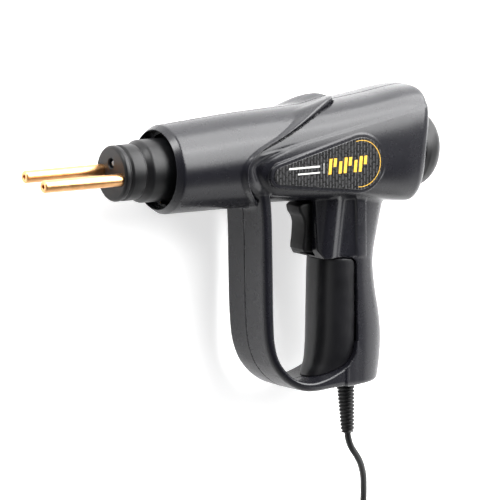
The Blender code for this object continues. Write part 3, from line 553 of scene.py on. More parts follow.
def plug_pin(side, word):
    """A round pin with a rounded end, turned as one solid; its sleeve is only a step in its radius."""
    profile = rounded([(0.0, 19.0), (2.0, 19.0), (2.0, 10.0), (1.85, 9.8), (1.85, -0.8),
                       (0.0, -0.8)], (0, 1.6, 0.1, 0.1, 0, 0))
    return lathe(f"mains_pin_{word}", profile, STEEL, FORWARD, steps=32,
                 at=(70.0, PLUG_Y + side * PIN_OFFSET, PLUG_MIDDLE))


def cord():
    """The mains cord with its plug, pins and tie."""
    curve = bpy.data.curves.new("mains_cord", "CURVE")
    curve.dimensions = "3D"
    curve.bevel_depth = CORD_RADIUS * MM
    curve.bevel_resolution = 4
    curve.use_fill_caps = True
    route = cord_points()
    spline = curve.splines.new("POLY")
    spline.points.add(len(route) - 1)
    for target, place in zip(spline.points, route):
        target.co = (*(Vector(place) * MM), 1.0)
    spline.use_smooth = True
    made = add_object("mains_cord", curve, CORD)
    keep(made, "root", "cord", "cord_lead", "cord_coil", "cord_tail")
    tie = keep(cord_tie(), "root", "dark_plastic", "cord_tie")
    body = keep(plug_body(), "root", "dark_plastic", "plug_body")
    upper = keep(plug_pin(1, "upper"), "root", "steel", "plug_pin_upper")
    lower = keep(plug_pin(-1, "lower"), "root", "steel", "plug_pin_lower")


cord()


# ---- solids from distance fields
#
# A field is negative inside the solid, zero on its surface and close to a distance in millimetres
# near it. Its functions take arrays x, y, z that numpy can spread over each other.

def table(rows, per_span=12):
    """Smooth curves through a table's rows, as (keys, one array of values a column)."""
    path = np.array([list(p) for p in smooth_through(rows, per_span)], dtype=np.float32)
    order = np.argsort(path[:, 0])
    return path[order, 0], path[order, 1:].T


def look_up(made, key):
    """Each column of a smooth table at the given keys."""
    keys, columns = made
    return [np.interp(key, keys, column).astype(np.float32) for column in columns]


def both(a, b, radius=0.0):
    """Intersection, its outer corner rounded; the radius may change from place to place."""
    if np.ndim(radius) == 0 and radius <= 0.0:
        return np.maximum(a, b)
    return (np.minimum(np.maximum(a, b), -radius)
            + np.sqrt(np.maximum(a + radius, 0.0) ** 2 + np.maximum(b + radius, 0.0) ** 2))


def either(a, b, radius=0.0):
    """Union, its inner corner filled with a fillet."""
    if radius <= 0.0:
        return np.minimum(a, b)
    return (np.maximum(np.minimum(a, b), radius)
            - np.sqrt(np.maximum(radius - a, 0.0) ** 2 + np.maximum(radius - b, 0.0) ** 2))


def without(a, b, radius=0.0):
    """The first solid less the second."""
    return both(a, -b, radius)


def step_up(value, start, end):
    """A smooth rise from 0 to 1."""
    share = np.clip((value - start) / (end - start), 0.0, 1.0)
    return share * share * (3.0 - 2.0 * share)


def superellipse(y, z, top, bottom, half, power):
    """Distance to a section given by its top, bottom, half width and roundness."""
    tall = (top - bottom) / 2
    u = np.abs(y - (top + bottom) / 2) / tall
    v = np.abs(z) / half
    u = np.maximum(u, 1e-4)
    v = np.maximum(v, 1e-4)
    level = (u ** power + v ** power) ** (1.0 / power)
    slope = np.sqrt(((u / level) ** (power - 1) / tall) ** 2 + ((v / level) ** (power - 1) / half) ** 2)
    return (level - 1.0) / slope


def polygon(x, y, outline):
    """Signed distance to a closed outline in the x-y plane."""
    x, y = np.broadcast_arrays(np.asarray(x, np.float32), np.asarray(y, np.float32))
    nearest = np.full(x.shape, 1e9, dtype=np.float32)
    inside = np.zeros(x.shape, dtype=bool)
    for i in range(len(outline)):
        (ax, ay), (bx, by) = outline[i - 1], outline[i]
        ex, ey = bx - ax, by - ay
        length = ex * ex + ey * ey
        if length < 1e-9:
            continue
        px, py = x - ax, y - ay
        share = np.clip((px * ex + py * ey) / length, 0.0, 1.0)
        nearest = np.minimum(nearest, (px - ex * share) ** 2 + (py - ey * share) ** 2)
        if ay != by:
            crosses = ((ay > y) != (by > y)) & (x < ax + (y - ay) / (by - ay) * ex)
            inside ^= crosses
    nearest = np.sqrt(nearest)
    return np.where(inside, -nearest, nearest)


def disc(u, v, radius):
    """Distance to a circle round zero, or to a cylinder along the axis that isn't given."""
    return np.sqrt(u ** 2 + v ** 2) - radius


def block(x, y, z, low, high):
    """A box between two corners."""
    made = np.maximum(low[0] - x, x - high[0])
    made = np.maximum(made, np.maximum(low[1] - y, y - high[1]))
    return np.maximum(made, np.maximum(low[2] - z, z - high[2]))


def capsule(x, y, small, large):
    """Signed distance to a teardrop: two circles (x, y, radius) and their common tangents."""
    dx, dy = large[0] - small[0], large[1] - small[1]
    run = math.hypot(dx, dy)
    along = ((x - small[0]) * dx + (y - small[1]) * dy) / run
    across = np.abs((x - small[0]) * -dy + (y - small[1]) * dx) / run
    lean = (large[2] - small[2]) / run
    tilt = math.sqrt(1.0 - lean * lean)
    near_small = disc(along, across, small[2])
    near_large = disc(along - run, across, large[2])
    side = across * tilt - along * lean - small[2]
    position = along * tilt + across * lean
    made = np.where(position < 0.0, near_small, side)
    return np.where(position > run * tilt, near_large, made)


POLISH_ROUNDS = 3
FACE_LIMIT = 190000


def cells_round(places, axis, shape):
    """The four grid cells round each crossed edge, in order, and which of them exist."""
    one, two = [d for d in range(3) if d != axis]
    made = []
    for da, db in ((0, 0), (1, 0), (1, 1), (0, 1)):
        cells = list(places)
        cells[one] = cells[one] - da
        cells[two] = cells[two] - db
        good = np.ones(len(cells[0]), dtype=bool)
        for d in range(3):
            good &= (cells[d] >= 0) & (cells[d] < shape[d])
        made.append((cells, good))
    return made


def net(field, low, high, cell):
    """Vertices and quads of surface nets on a field's zero surface, in a grid of cells."""
    counts = [int(math.ceil((b - a) / cell)) + 1 for a, b in zip(low, high)]
    axes = [np.float32(a) + np.float32(cell) * np.arange(n, dtype=np.float32)
            for a, n in zip(low, counts)]
    value = field(axes[0][:, None, None], axes[1][None, :, None], axes[2][None, None, :])
    value = np.ascontiguousarray(np.broadcast_to(value, counts), dtype=np.float32)
    inside = value < 0.0
    shape = tuple(n - 1 for n in counts)
    size = int(np.prod(shape))
    total = np.zeros(shape + (3,), dtype=np.float32)
    hits = np.zeros(size, dtype=np.float32)
    edges = []
    for axis in range(3):
        a = tuple(slice(0, -1) if d == axis else slice(None) for d in range(3))
        b = tuple(slice(1, None) if d == axis else slice(None) for d in range(3))
        places = np.nonzero(inside[a] != inside[b])
        first = value[a][places]
        place = np.stack(places, axis=1).astype(np.float32)
        place[:, axis] += first / (first - value[b][places])
        cells = cells_round(places, axis, shape)
        edges.append((axis, cells, inside[a][places]))
        for corner in (0, 3, 1, 2):
            index, good = cells[corner]
            flat = np.ravel_multi_index([c[good] for c in index], shape)
            hits += np.bincount(flat, minlength=size).astype(np.float32)
            for d in range(3):
                total[..., d] += np.bincount(flat, weights=place[good, d],
                                             minlength=size).reshape(shape).astype(np.float32)
    hits = hits.reshape(shape)
    used = hits > 0
    number = np.full(shape, -1, dtype=np.int64)
    number[used] = np.arange(int(used.sum()))
    vertices = total[used] / hits[used][:, None] * cell + np.array(low, dtype=np.float32)
    quads = []
    for axis, cells, start_inside in edges:
        good = np.logical_and.reduce([fine for _, fine in cells])
        found = np.stack([number[tuple(c[good] for c in index)] for index, _ in cells], axis=1)
        flip = ~start_inside[good] ^ (axis == 1)
        found[flip] = found[flip][:, ::-1]
        quads.append(found)
    quads = np.concatenate(quads)
    return vertices, quads[(quads >= 0).all(axis=1)]


def contour(field, low, high, cell, name, finish, mirror=False):
    """A mesh of a field's zero surface: surface nets, moved onto the field and thinned.

    The mesh gets normals from the field itself, so that its gloss runs true.
    """
    vertices, quads = net(field, low, high, cell)
    vertices = onto(field, vertices, POLISH_ROUNDS, cell * 0.6)
    mesh = bpy.data.meshes.new(name)
    mesh.vertices.add(len(vertices))
    mesh.vertices.foreach_set("co", (vertices * MM).astype(np.float32).reshape(-1))
    mesh.loops.add(quads.size)
    mesh.loops.foreach_set("vertex_index", quads.astype(np.int32).reshape(-1))
    mesh.polygons.add(len(quads))
    mesh.polygons.foreach_set("loop_start", np.arange(0, quads.size, 4, dtype=np.int32))
    mesh.update(calc_edges=True)
    mesh.validate()
    made = add_object(name, mesh, finish)
    triangles = 2 * len(quads)
    if triangles > FACE_LIMIT:
        thin = made.modifiers.new("thin", "DECIMATE")
        thin.ratio = FACE_LIMIT / triangles
        settle(made)
    polished_normals(made, field, mirror)
    return made


def slopes(field, vertices, reach=0.05):
    """The field's value and gradient at points."""
    columns = [vertices[:, d].astype(np.float64) for d in range(3)]
    value = field(*columns)
    made = []
    for d in range(3):
        ahead = list(columns)
        back = list(columns)
        ahead[d] = ahead[d] + reach
        back[d] = back[d] - reach
        made.append((field(*ahead) - field(*back)) / (2 * reach))
    return value, np.stack(made, axis=1)


def onto(field, vertices, rounds, most):
    """Points moved onto the field's zero surface, none further than most."""
    start = vertices.copy()
    for _ in range(rounds):
        value, slope = slopes(field, vertices)
        steep = np.maximum((slope ** 2).sum(axis=1), 0.15)
        vertices = vertices - (value / steep)[:, None] * slope
        moved = vertices - start
        far = np.sqrt((moved ** 2).sum(axis=1))
        share = np.minimum(1.0, most / np.maximum(far, 1e-9))
        vertices = start + moved * share[:, None]
    return vertices


def polished_normals(made, field, mirror):
    """Normals from the field; a mirrored copy is its own right-hand twin."""
    mesh = made.data
    count = len(mesh.vertices)
    flat = np.empty(count * 3, dtype=np.float32)
    mesh.vertices.foreach_get("co", flat)
    vertices = flat.reshape(-1, 3) / MM
    vertices = onto(field, vertices, 2, 0.2)
    _, normals = slopes(field, vertices, 0.12)
    normals /= np.maximum(np.sqrt((normals ** 2).sum(axis=1)), 1e-9)[:, None]
    if mirror:
        vertices[:, 2] *= -1.0
        normals[:, 2] *= -1.0
    mesh.vertices.foreach_set("co", (vertices * MM).astype(np.float32).reshape(-1))
    if mirror:
        mesh.flip_normals()
    mesh.update()
    mesh.shade_smooth()
    mesh.normals_split_custom_set_from_vertices(normals.astype(np.float32).tolist())


# ---- housing

# Sections: x, top, bottom, half width and how square they are
BODY = table((
    (40.0, 25.5, -25.0, 25.5, 2.1), (75.0, 29.4, -25.8, 27.6, 2.4),
    (105.0, 32.4, -26.4, 28.6, 2.8), (132.0, 35.1, -27.2, 29.0, 3.0),
    (152.0, 37.4, -29.2, 29.2, 3.2), (168.0, 39.8, -31.2, 29.2, 3.3),
    (178.0, 40.8, -32.0, 28.8, 3.3), (190.0, 41.1, -32.2, 28.2, 3.3),
))
BARREL = table((
    (-6.0, 27.0, -27.9, 27.7, 2.0), (4.3, 27.6, -27.9, 27.9, 2.0), (30.0, 29.5, -27.9, 28.3, 2.0),
    (60.0, 31.4, -28.0, 29.0, 2.1), (100.0, 33.0, -28.4, 29.6, 2.3),
    (130.0, 34.6, -28.6, 30.0, 2.5),
))
WALL = 2.6
SEAM_GAP = 0.12          # half the gap between the housing's halves
GRIP_SPLIT = 136.0       # behind this x the grip's sides curve in
BODY_END = 184.5
HOLLOW = (18.0, 181.0)   # where the housing's inside starts and ends
HOLLOW_SIDE = 14.4       # half the inside's width in the grip's flat front
BOSS_RADIUS = 4.4
BOSS_MORE = 8.0          # a boss runs this far past its reach
SINK_RADIUS = 2.9        # the screw heads' sinks and their shank holes
SINK_FLOOR = 10.7        # above the seam
SHANK_RADIUS = 1.8
NOSE_BORE = 20.3
NOSE_GROOVE = (11.0, 15.0, 23.9)         # its start, end and radius
CAP_BORE = (176.0, 16.3)                 # its start and radius
BOOT_BORE = (140.5, -138.0, 6.6)         # its x, top and radius
TRIGGER_SLOT = ((90.0, -61.2, -8.4), (134.0, -25.9, 8.4))
FRONT_WALL = ((129.0, -141.0, 13.3), (139.0, -60.0, 16.4))
REAR_LEAN = 0.11         # the rear wall's top stands further back than its bottom
REAR_SLOPE = 1.0 / math.sqrt(1.0 + REAR_LEAN ** 2)
# Angle from the top in degrees, x of the hood's rear edge, width of its flared band, flare
HOOD_EDGE = table((
    (-14.0, 125.0, 26.0, 4.6), (0.0, 128.0, 24.0, 3.0),
    (14.0, 125.0, 26.0, 4.6), (24.0, 118.0, 26.0, 5.0), (38.0, 103.0, 14.0, 3.6),
    (56.0, 82.0, 8.0, 2.8), (72.0, 61.0, 6.0, 2.4), (86.0, 51.0, 5.0, 2.22),
    (100.0, 49.0, 4.6, 2.22), (120.0, 53.0, 4.6, 2.2), (150.0, 64.0, 4.6, 2.0),
    (180.0, 70.0, 4.6, 1.6), (194.0, 71.0, 4.6, 1.6),
))
HOOD_KEYS = np.arange(0.0, 181.0, 1.0, dtype=np.float32)
HOOD_SLOPE = np.gradient(look_up(HOOD_EDGE, HOOD_KEYS)[0], np.radians(HOOD_KEYS)) / 30.0
GUARD_OUTER = (
    (60.0, -10.0), (64.3, -30.4), (65.4, -68.0), (66.0, -92.0), (67.6, -111.0), (71.4, -123.2),
    (76.2, -130.8), (82.6, -137.2), (90.4, -142.0), (99.0, -144.8), (108.0, -145.3),
    (119.7, -144.4), (140.0, -143.6),
)
GUARD_INNER = (
    (69.5, -10.0), (71.9, -30.4), (72.8, -68.0), (73.3, -95.0), (74.2, -111.0), (77.2, -122.2),
    (82.8, -130.2), (91.0, -136.6), (101.4, -139.2), (111.6, -137.9), (121.6, -134.2),
    (129.0, -130.2), (133.6, -124.0), (135.6, -116.0),
)
GUARD_HALF = 21.7
# The hollow between the hood's edge and the label
TROUGH_BACK = 8.6
TROUGH_WIDTH = 2.6
TROUGH_DEPTH = 1.3
# y, x of the back and half width
GRIP = table([(-y, back, half) for y, back, half in (
    (-10.0, 168.5, 19.0), (-22.0, 166.0, 19.0), (-33.5, 163.4, 19.2), (-48.0, 159.6, 19.6),
    (-60.0, 156.6, 19.8), (-70.0, 155.8, 20.0), (-84.0, 157.4, 20.4), (-98.0, 160.2, 20.8),
    (-111.0, 161.8, 21.2), (-124.0, 161.4, 21.5), (-136.0, 159.6, 21.6), (-147.0, 157.0, 21.6))])
LABEL_SMALL = (73.6, -6.0, 5.6)
LABEL_LARGE = (131.8, -2.6, 16.4)
PANEL_TOP = 29.7
PANEL_EDGE = 2.4
# x, y and reach from the seam; where the reach is 0 there is no boss
SCREWS = (
    (34.0, 18.5, 15.5), (34.0, -18.5, 15.5), (157.0, 27.0, 23.5), (168.0, -17.0, 25.5),
    (126.0, -138.0, 0.0), (150.5, -104.0, 15.0), (66.0, -21.0, 17.0),
)
# x and half width
CHEEK = table(((105.0, 12.0), (109.4, 15.8), (112.5, 18.2), (117.5, 19.6), (121.0, 18.6),
               (125.0, 17.1), (130.0, 17.9), (136.0, 19.3), (141.0, 19.0), (145.0, 18.2),
               (155.0, 16.0)))


def outline(points, per_span=4):
    """A smooth outline through points in the x-y plane."""
    return [(p.x, p.y) for p in smooth_through([(x, y, 0) for x, y in points], per_span)]


GUARD_OUTLINE = outline(GUARD_OUTER) + [(148.0, -142.6), (148.0, -126.0), (138.0, -118.0),
                                        (138.0, -10.0)]
GUARD_HOLE = outline(GUARD_INNER) + [(141.0, -112.0), (141.0, 10.0), (69.5, 10.0)]
# x and half width, narrower where the guard runs into the grip
GUARD_SIDE = table(((40.0, 21.7), (80.0, 21.7), (122.0, 21.7), (130.0, 21.2), (136.0, 20.3),
                    (142.0, 18.0), (160.0, 8.0)))
LOOP_OUTLINE = outline(GUARD_INNER[7:]) + [(150.0, -116.0), (150.0, -160.0), (80.0, -160.0)]


def body_field(x, y, z):
    """The rear body, its side panels a little proud between two slanting creases."""
    made = superellipse(y, z, *look_up(BODY, x))
    upper = 8.6 + (x - 66.7) * 0.181
    lower = -19.0 - (x - 67.0) * 0.13
    side = step_up(np.abs(z), 12.0, 20.0)
    panel = step_up(upper - y, -0.8, 1.2) * step_up(y - lower, -0.2, 0.8) * side
    made = made - 0.9 * panel * step_up(x, 58.0, 70.0)
    return both(made, (x - BODY_END - REAR_LEAN * y) * REAR_SLOPE, 7.0)


def hood_field(x, y, z):
    """The barrel's shroud, flared towards its slanted rear edge; its rim is a piece of its own."""
    top, bottom, half, power = look_up(BARREL, x)
    middle = (top + bottom) / 2
    angle = np.degrees(np.arctan2(np.abs(z), y - middle))
    edge, width, flare = look_up(HOOD_EDGE, angle)
    share = np.clip((x - (edge - width)) / width, 0.0, 1.0)
    rise = 0.75 * share * share * (3.0 - 2.0 * share) + 0.25 * share
    made = superellipse(y, z, top, bottom, half, power) - flare * rise
    slope = np.interp(angle, HOOD_KEYS, HOOD_SLOPE)
    behind = (x - edge) / np.sqrt(1.0 + slope * slope)
    lip = 0.9 + 1.2 * step_up(angle, 60.0, 30.0)
    return both(made, behind, lip), behind


def guard_field(x, y, z):
    """The finger guard, a band with well rounded outer edges and crisper inner ones."""
    half, = look_up(GUARD_SIDE, x)
    made = polygon(x, y, GUARD_OUTLINE) + 0.5 * (z / GUARD_HALF) ** 2
    made = both(made, np.abs(z) - half, 3.6)
    hole = polygon(x, y, GUARD_HOLE) + 0.35 * (1.0 - (z / GUARD_HALF) ** 2)
    return without(made, hole, 1.4)


def grip_section(x, y, z, wall, flat_half):
    """The grip's outline less a wall: curved behind, flat sides flat_half from the seam in front."""
    back, half = look_up(GRIP, -y)
    split = GRIP_SPLIT + wall
    run = np.maximum(x - GRIP_SPLIT, 0.0)
    made = superellipse(run, z, back - split, split - back, half - wall, 2.4)
    return np.where(x < GRIP_SPLIT, np.abs(z) - flat_half, made)


def grip_field(x, y, z):
    """The grip: flat-sided in front, rounded behind."""
    made = grip_section(x, y, z, 0.0, look_up(GRIP, -y)[1])
    front = 128.0 + 8.5 * step_up(y, -63.5, -62.0)
    made = np.maximum(made, front - x)
    low = -144.4 + 0.06 * (x - 119.0)
    made = both(made, low - y, 2.6)
    return np.maximum(made, y + 12.0)


def cheek_field(x, y, z):
    """The cheeks on both sides of the trigger: a bevelled front, a soft dip, then the grip."""
    back, grip_half = look_up(GRIP, -y)
    half, = look_up(CHEEK, x - 0.12 * (y + 60.0))
    half = half + (grip_half - 19.8) * step_up(x, 124.0, 136.0)
    made = (np.abs(z) - half) * 0.93
    made = both(made, 109.4 - x, 1.0)
    bottom = np.where(x < 113.0, -57.5 - (x - 109.4) * 1.47, -62.8)
    made = both(made, bottom - y, 1.0)
    return np.maximum(np.maximum(made, x - 142.0), y + 16.0)


def housing_solid(x, y, z, sinks):
    """One half of the housing, for z above the seam."""
    made = body_field(x, y, z)
    hood, behind = hood_field(x, y, z)
    panel = capsule(x, y, LABEL_SMALL, LABEL_LARGE) - PANEL_EDGE
    panel = both(panel, np.abs(z) - PANEL_TOP, 0.7)
    panel = np.maximum(panel, 20.0 - np.abs(z))
    made = either(made, panel, 0.6)
    made = either(made, grip_field(x, y, z), 2.5)
    made = either(made, cheek_field(x, y, z), 2.0)
    trough = np.exp(-((behind - TROUGH_BACK) / TROUGH_WIDTH) ** 2)
    trough = trough * step_up(np.abs(z), 16.0, 23.0) * step_up(y, 14.0, 7.0)
    made = made + TROUGH_DEPTH * trough
    made = np.maximum(made, -np.maximum(np.abs(behind - 0.2) - 0.7, -1.3 - made))
    made = either(made, hood, 0.2)
    made = either(made, guard_field(x, y, z), 2.2)

    inside = superellipse(y, z, *look_up(BODY, x)) + WALL
    nose_end = disc(y, z, 24.6 - 2.2 * step_up(x, 26.0, 18.0))
    inside = np.where(x < 40.0, np.maximum(inside, nose_end), inside)
    inside = both(inside, np.maximum(HOLLOW[0] - x, x - HOLLOW[1]), 1.0)
    hollow = grip_section(x, y, z, WALL, HOLLOW_SIDE)
    hollow = np.maximum(hollow, np.maximum(130.6 - x, np.maximum(-139.6 - y, y + 20.0)))
    inside = either(inside, hollow, 1.0)
    for px, py, reach in SCREWS:
        if reach:
            post = disc(x - px, y - py, BOSS_RADIUS)
            inside = without(inside, np.maximum(post, np.abs(z) - reach - BOSS_MORE), 0.6)
    inside = without(inside, block(x, y, z, *FRONT_WALL))
    made = without(made, inside)

    pocket = np.maximum(polygon(x, y, LOOP_OUTLINE) * -1.0, 15.9 - z)
    pocket = np.maximum(pocket, both(x - GRIP_SPLIT, y + 63.1, 4.5))
    pocket = np.maximum(pocket, np.maximum(124.0 - x, -150.0 - y))
    made = without(made, pocket)
    made = without(made, block(x, y, z, *TRIGGER_SLOT), 0.6)

    made = np.maximum(made, RIM_END - 0.7 - x)
    groove_start, groove_end, groove_radius = NOSE_GROOVE
    bore = np.where(x < 8.0, disc(y, z, MOUTH_RADIUS), disc(y, z, NOSE_BORE))
    bore = np.where((x > groove_start) & (x < groove_end), disc(y, z, groove_radius), bore)
    made = without(made, np.maximum(bore, x - 20.0))
    across = (y + REAR_LEAN * (x - BODY_END)) * REAR_SLOPE
    made = without(made, np.maximum(disc(across, z, CAP_BORE[1]), CAP_BORE[0] - x))
    boot_x, boot_top, boot_radius = BOOT_BORE
    made = without(made, np.maximum(disc(x - boot_x, z, boot_radius), y - boot_top), 0.4)
    if sinks:
        for px, py, _ in SCREWS:
            sink = disc(x - px, y - py, SINK_RADIUS)
            made = without(made, np.maximum(sink, SINK_FLOOR - z), 0.35)
            made = without(made, disc(x - px, y - py, SHANK_RADIUS))
    return both(made, SEAM_GAP - z, 0.45)


RIM_END = 7.5
# The rim's section: x, how far out, from the bore's lip round the bevel to the barrel's side.
# Out is 0 at the mouth's radius and 1 at the barrel's surface.
MOUTH_RADIUS = 24.4
RIM_SECTION = ((8.0, 0.0), (0.7, 0.0), (0.15, 0.04), (0.0, 0.10), (0.0, 0.16), (0.12, 0.20),
               (3.7, 0.92), (4.1, 0.965), (4.6, 0.99), (5.2, 1.0), (RIM_END, 1.0),
               (RIM_END, 0.9), (8.0, 0.85))


def rim(side, word):
    """One half of the bevelled ring round the barrel's mouth."""
    count = 96
    start = math.asin(SEAM_GAP / 27.0)
    section = rounded(RIM_SECTION, [0, 0.2, 0.1, 0.1, 0.1, 0.1, 0.2, 0.2, 0.2, 0.2, 0, 0, 0], 2)
    rings = []
    for i in range(count + 1):
        angle = start + (math.pi - 2 * start) * i / count
        ring = []
        for x, out in section:
            top, bottom, half, _ = look_up(BARREL, max(x, 4.3))
            wide = float(half) + 0.02
            tall = float(top - bottom) / 2 + 0.02
            middle = float(top + bottom) / 2
            y = MOUTH_RADIUS * math.cos(angle) * (1 - out) + (middle + tall * math.cos(angle)) * out
            z = MOUTH_RADIUS * math.sin(angle) * (1 - out) + wide * math.sin(angle) * out
            ring.append((x, y, side * z))
        rings.append(ring)
    made = loft(f"rim_{word}", rings, SHELL, 28.0)
    keep(made, "root", "shell")


def housing():
    """Both halves of the housing; only the right one has screw holes."""
    cell = 0.66
    low, high = (-1.5, -147.5, -1.2), (187.0, 47.0, 33.0)
    for name, sinks, mirror, node in (("shell_left", False, False, "housing_left"),
                                      ("shell_right", True, True, "housing_right")):
        made = contour(lambda x, y, z: housing_solid(x, y, z, sinks), low, high, cell, name,
                       SHELL, mirror)
        keep(made, "root", "shell", node)
    rim(1, "left")
    rim(-1, "right")


housing()


# ---- nose, electrodes, lamp and cap

ROD_RADIUS = 3.9
ROD_DROP = 0.8
ROD_OFFSET = 11.1
ROD_TURN = math.radians(9.0)
LAMP_Y = 6.4


def rod_place(side):
    """The y and z of one electrode's axis; side is 1 for the left and -1 for the right."""
    return (-side * ROD_OFFSET * math.sin(ROD_TURN) - ROD_DROP,
            side * ROD_OFFSET * math.cos(ROD_TURN))


def bore(name, radius, start, end, y, z, flare=0.0):
    """A cutter along x, opening out at its front end if asked."""
    profile = [(0.0, -start), (radius + flare, -start), (radius + flare, -start - 3.0),
               (radius, -start - 3.0 - flare), (radius, -end), (0.0, -end)]
    return lathe(name, profile, None, FORWARD, (0.0, y, z), steps=48)


def nose():
    """The stepped insulating nose with its two rod holes and the lamp's hole."""
    corners = [(0.0, 32.2), (16.2, 32.2), (17.4, 31.0), (17.4, 28.4), (16.2, 27.4), (16.2, 26.6),
               (17.4, 25.6), (17.4, 17.4), (16.9, 16.9), (16.9, 16.2), (17.4, 15.7),
               (19.5, 12.6), (19.5, -11.3), (23.4, -11.3), (23.4, -14.7), (19.5, -14.7),
               (19.5, -17.7), (0.0, -17.7)]
    radii = [0, 0.8, 0.8, 0.4, 0.3, 0.3, 0.5, 0.4, 0.2, 0.2, 0.4, 1.2, 0, 0, 0, 0, 0, 0]
    made = lathe("nose", rounded(corners, radii), SHELL_DARK, FORWARD, steps=128)
    cutters = []
    for side, word in SIDES:
        y, z = rod_place(side)
        cutters.append(bore(f"rod_bore_{word}", ROD_RADIUS + 0.3, -35.0, 25.0, y, z))
    cutters.append(bore("lamp_bore", 3.1, -35.0, 25.0, LAMP_Y, 0.0, 0.5))
    made = cut(made, *cutters)
    crisp(made.data, 35)
    return keep(made, "root", "dark_plastic", "nose_insulator")


def electrodes():
    """Two drawn brass rods, bevelled and drilled at the tip."""
    for side, word in SIDES:
        y, z = rod_place(side)
        corners = [(0.0, 81.4), (1.35, 82.2), (1.35, 87.6), (1.75, 88.0), (3.1, 88.0),
                   (ROD_RADIUS, 87.1), (ROD_RADIUS, -46.0), (0.0, -46.0)]
        profile = rounded(corners, [0, 0.1, 0.2, 0.2, 0.25, 0.3, 0.2, 0], 3)
        made = lathe(f"electrode_rod_{word}", profile, BRASS, FORWARD, (0, y, z), steps=64)
        keep(made, "root", "electrode_brass", f"electrode_{word}")


def lamp():
    """The round lamp, set back in its hole."""
    paint = Nodes("lamp_lens").set(Transmission_Weight=0.55, IOR=1.5, Coat_Weight=0.6,
                                   Coat_Roughness=0.04)
    paint.colour(paint.noise(900.0, 2.0), (0.35, 0.37, 0.40), (0.45, 0.47, 0.50))
    paint.roughness(paint.noise(1200.0, 2.0), 0.05, 0.12)
    dome = [(2.5 * math.cos(math.radians(a)), 28.2 + 3.0 * math.sin(math.radians(a)))
            for a in range(90, -1, -10)]
    profile = dome + [(2.5, 24.0), (2.9, 24.0), (2.9, 22.8), (1.2, 22.8), (1.2, -18.6), (0.0, -18.6)]
    profile[0] = (0.0, profile[0][1])
    made = lathe("work_lamp", profile, paint.material, FORWARD, (0, LAMP_Y, 0), steps=48)
    keep(made, "root", "lamp", "led_lamp")


def rear_cap():
    """The domed cap behind the body, square to its leaning rear wall."""
    dome = smooth_through([(0.0, 20.0), (7.5, 19.3), (14.0, 17.3), (19.5, 14.0), (22.9, 9.9),
                           (24.0, 5.4), (24.0, 3.2)], 6)
    dome = [(max(p.x, 0.0), min(p.y, 20.0)) for p in dome]
    rest = [(24.0, 1.2), (23.7, 0.7), (23.2, 0.4), (16.0, 0.4), (16.0, -4.1), (19.0, -4.1),
            (19.0, -7.0), (0.0, -7.0)]
    turn = Matrix.Rotation(-math.atan(REAR_LEAN), 3, "Z") @ BACKWARD
    # Painted shade: the cap is the shell's plastic, but it gets the darker, less glossy dark plastic to
    # damp the key light's reflection on it.
    made = lathe("end_cap", dome + rest, DARK, turn, (184.4, 0.0, 0.0), steps=128)
    keep(made, "root", "shell", "rear_cap")


# ---- grip insert, trigger and boot

INSERT = table([(-y, front, half) for y, front, half in (
    (-60.0, 118.2, 17.2), (-63.4, 117.2, 17.7), (-66.0, 116.0, 18.3), (-90.0, 115.2, 18.5),
    (-110.0, 114.8, 18.5), (-120.0, 114.2, 18.2), (-129.0, 112.8, 17.4), (-134.5, 110.4, 17.0),
    (-145.0, 107.0, 17.0))])
INSERT_SPLIT = 132.0     # in front of this x the strip curves in


def insert_solid(x, y, z):
    """The half-round strip in front of the grip; it wraps the grip's front block."""
    front, half = look_up(INSERT, -y)
    run = np.minimum(x - INSERT_SPLIT, 0.0)
    made = superellipse(run, z, INSERT_SPLIT - front, front - INSERT_SPLIT, half, 2.2)
    made = np.where(x < INSERT_SPLIT, made, np.abs(z) - half)
    made = both(made, both(x - 135.4, y + 63.4, 4.0), 0.9)
    made = both(made, 0.3 - polygon(x, y, LOOP_OUTLINE), 0.6)
    made = np.maximum(made, -140.5 - y)
    return without(made, np.maximum(127.7 - x, np.abs(z) - 16.2))


def insert():
    """The front grip, as a mesh."""
    made = contour(insert_solid, (106.0, -141.5, -20.0), (137.0, -62.0, 20.0),
                   0.55, "front_grip", SOFT)
    keep(made, "root", "soft_grip", "grip_insert")


TRIGGER_OUTLINE = outline([
    (100.6, -29.9), (100.8, -31.6), (101.6, -34.4), (103.6, -37.2), (104.8, -41.0),
    (104.9, -45.5), (104.4, -50.0), (103.7, -54.0), (103.6, -57.2)], 5) + [
    (105.0, -59.3), (111.0, -59.8), (116.0, -58.2), (118.4, -54.0), (118.4, -30.5),
    (116.6, -28.0), (112.0, -27.2), (103.0, -28.2)]
PIVOT = (113.0, -31.5)


def trigger_solid(x, y, z):
    """The trigger: a crowned, rounded finger face under a small lip."""
    made = polygon(x, y, TRIGGER_OUTLINE) + 0.35 * (z / 8.0) ** 2
    made = both(made, np.abs(z) - 8.0, 1.2)
    return without(made, disc(x - PIVOT[0], y - PIVOT[1], 1.8))


def trigger():
    """The trigger, as a mesh on its own body."""
    made = contour(trigger_solid, (99.0, -61.0, -9.0), (120.0, -26.0, 9.0),
                   0.4, "trigger_key", DARK)
    keep(made, "trigger", "dark_plastic", "trigger")


RELIEF_TOP = (140.2, -135.4)
RELIEF_LEAN = math.radians(3.0)
RIBS = 13
RIB_PITCH = 2.35


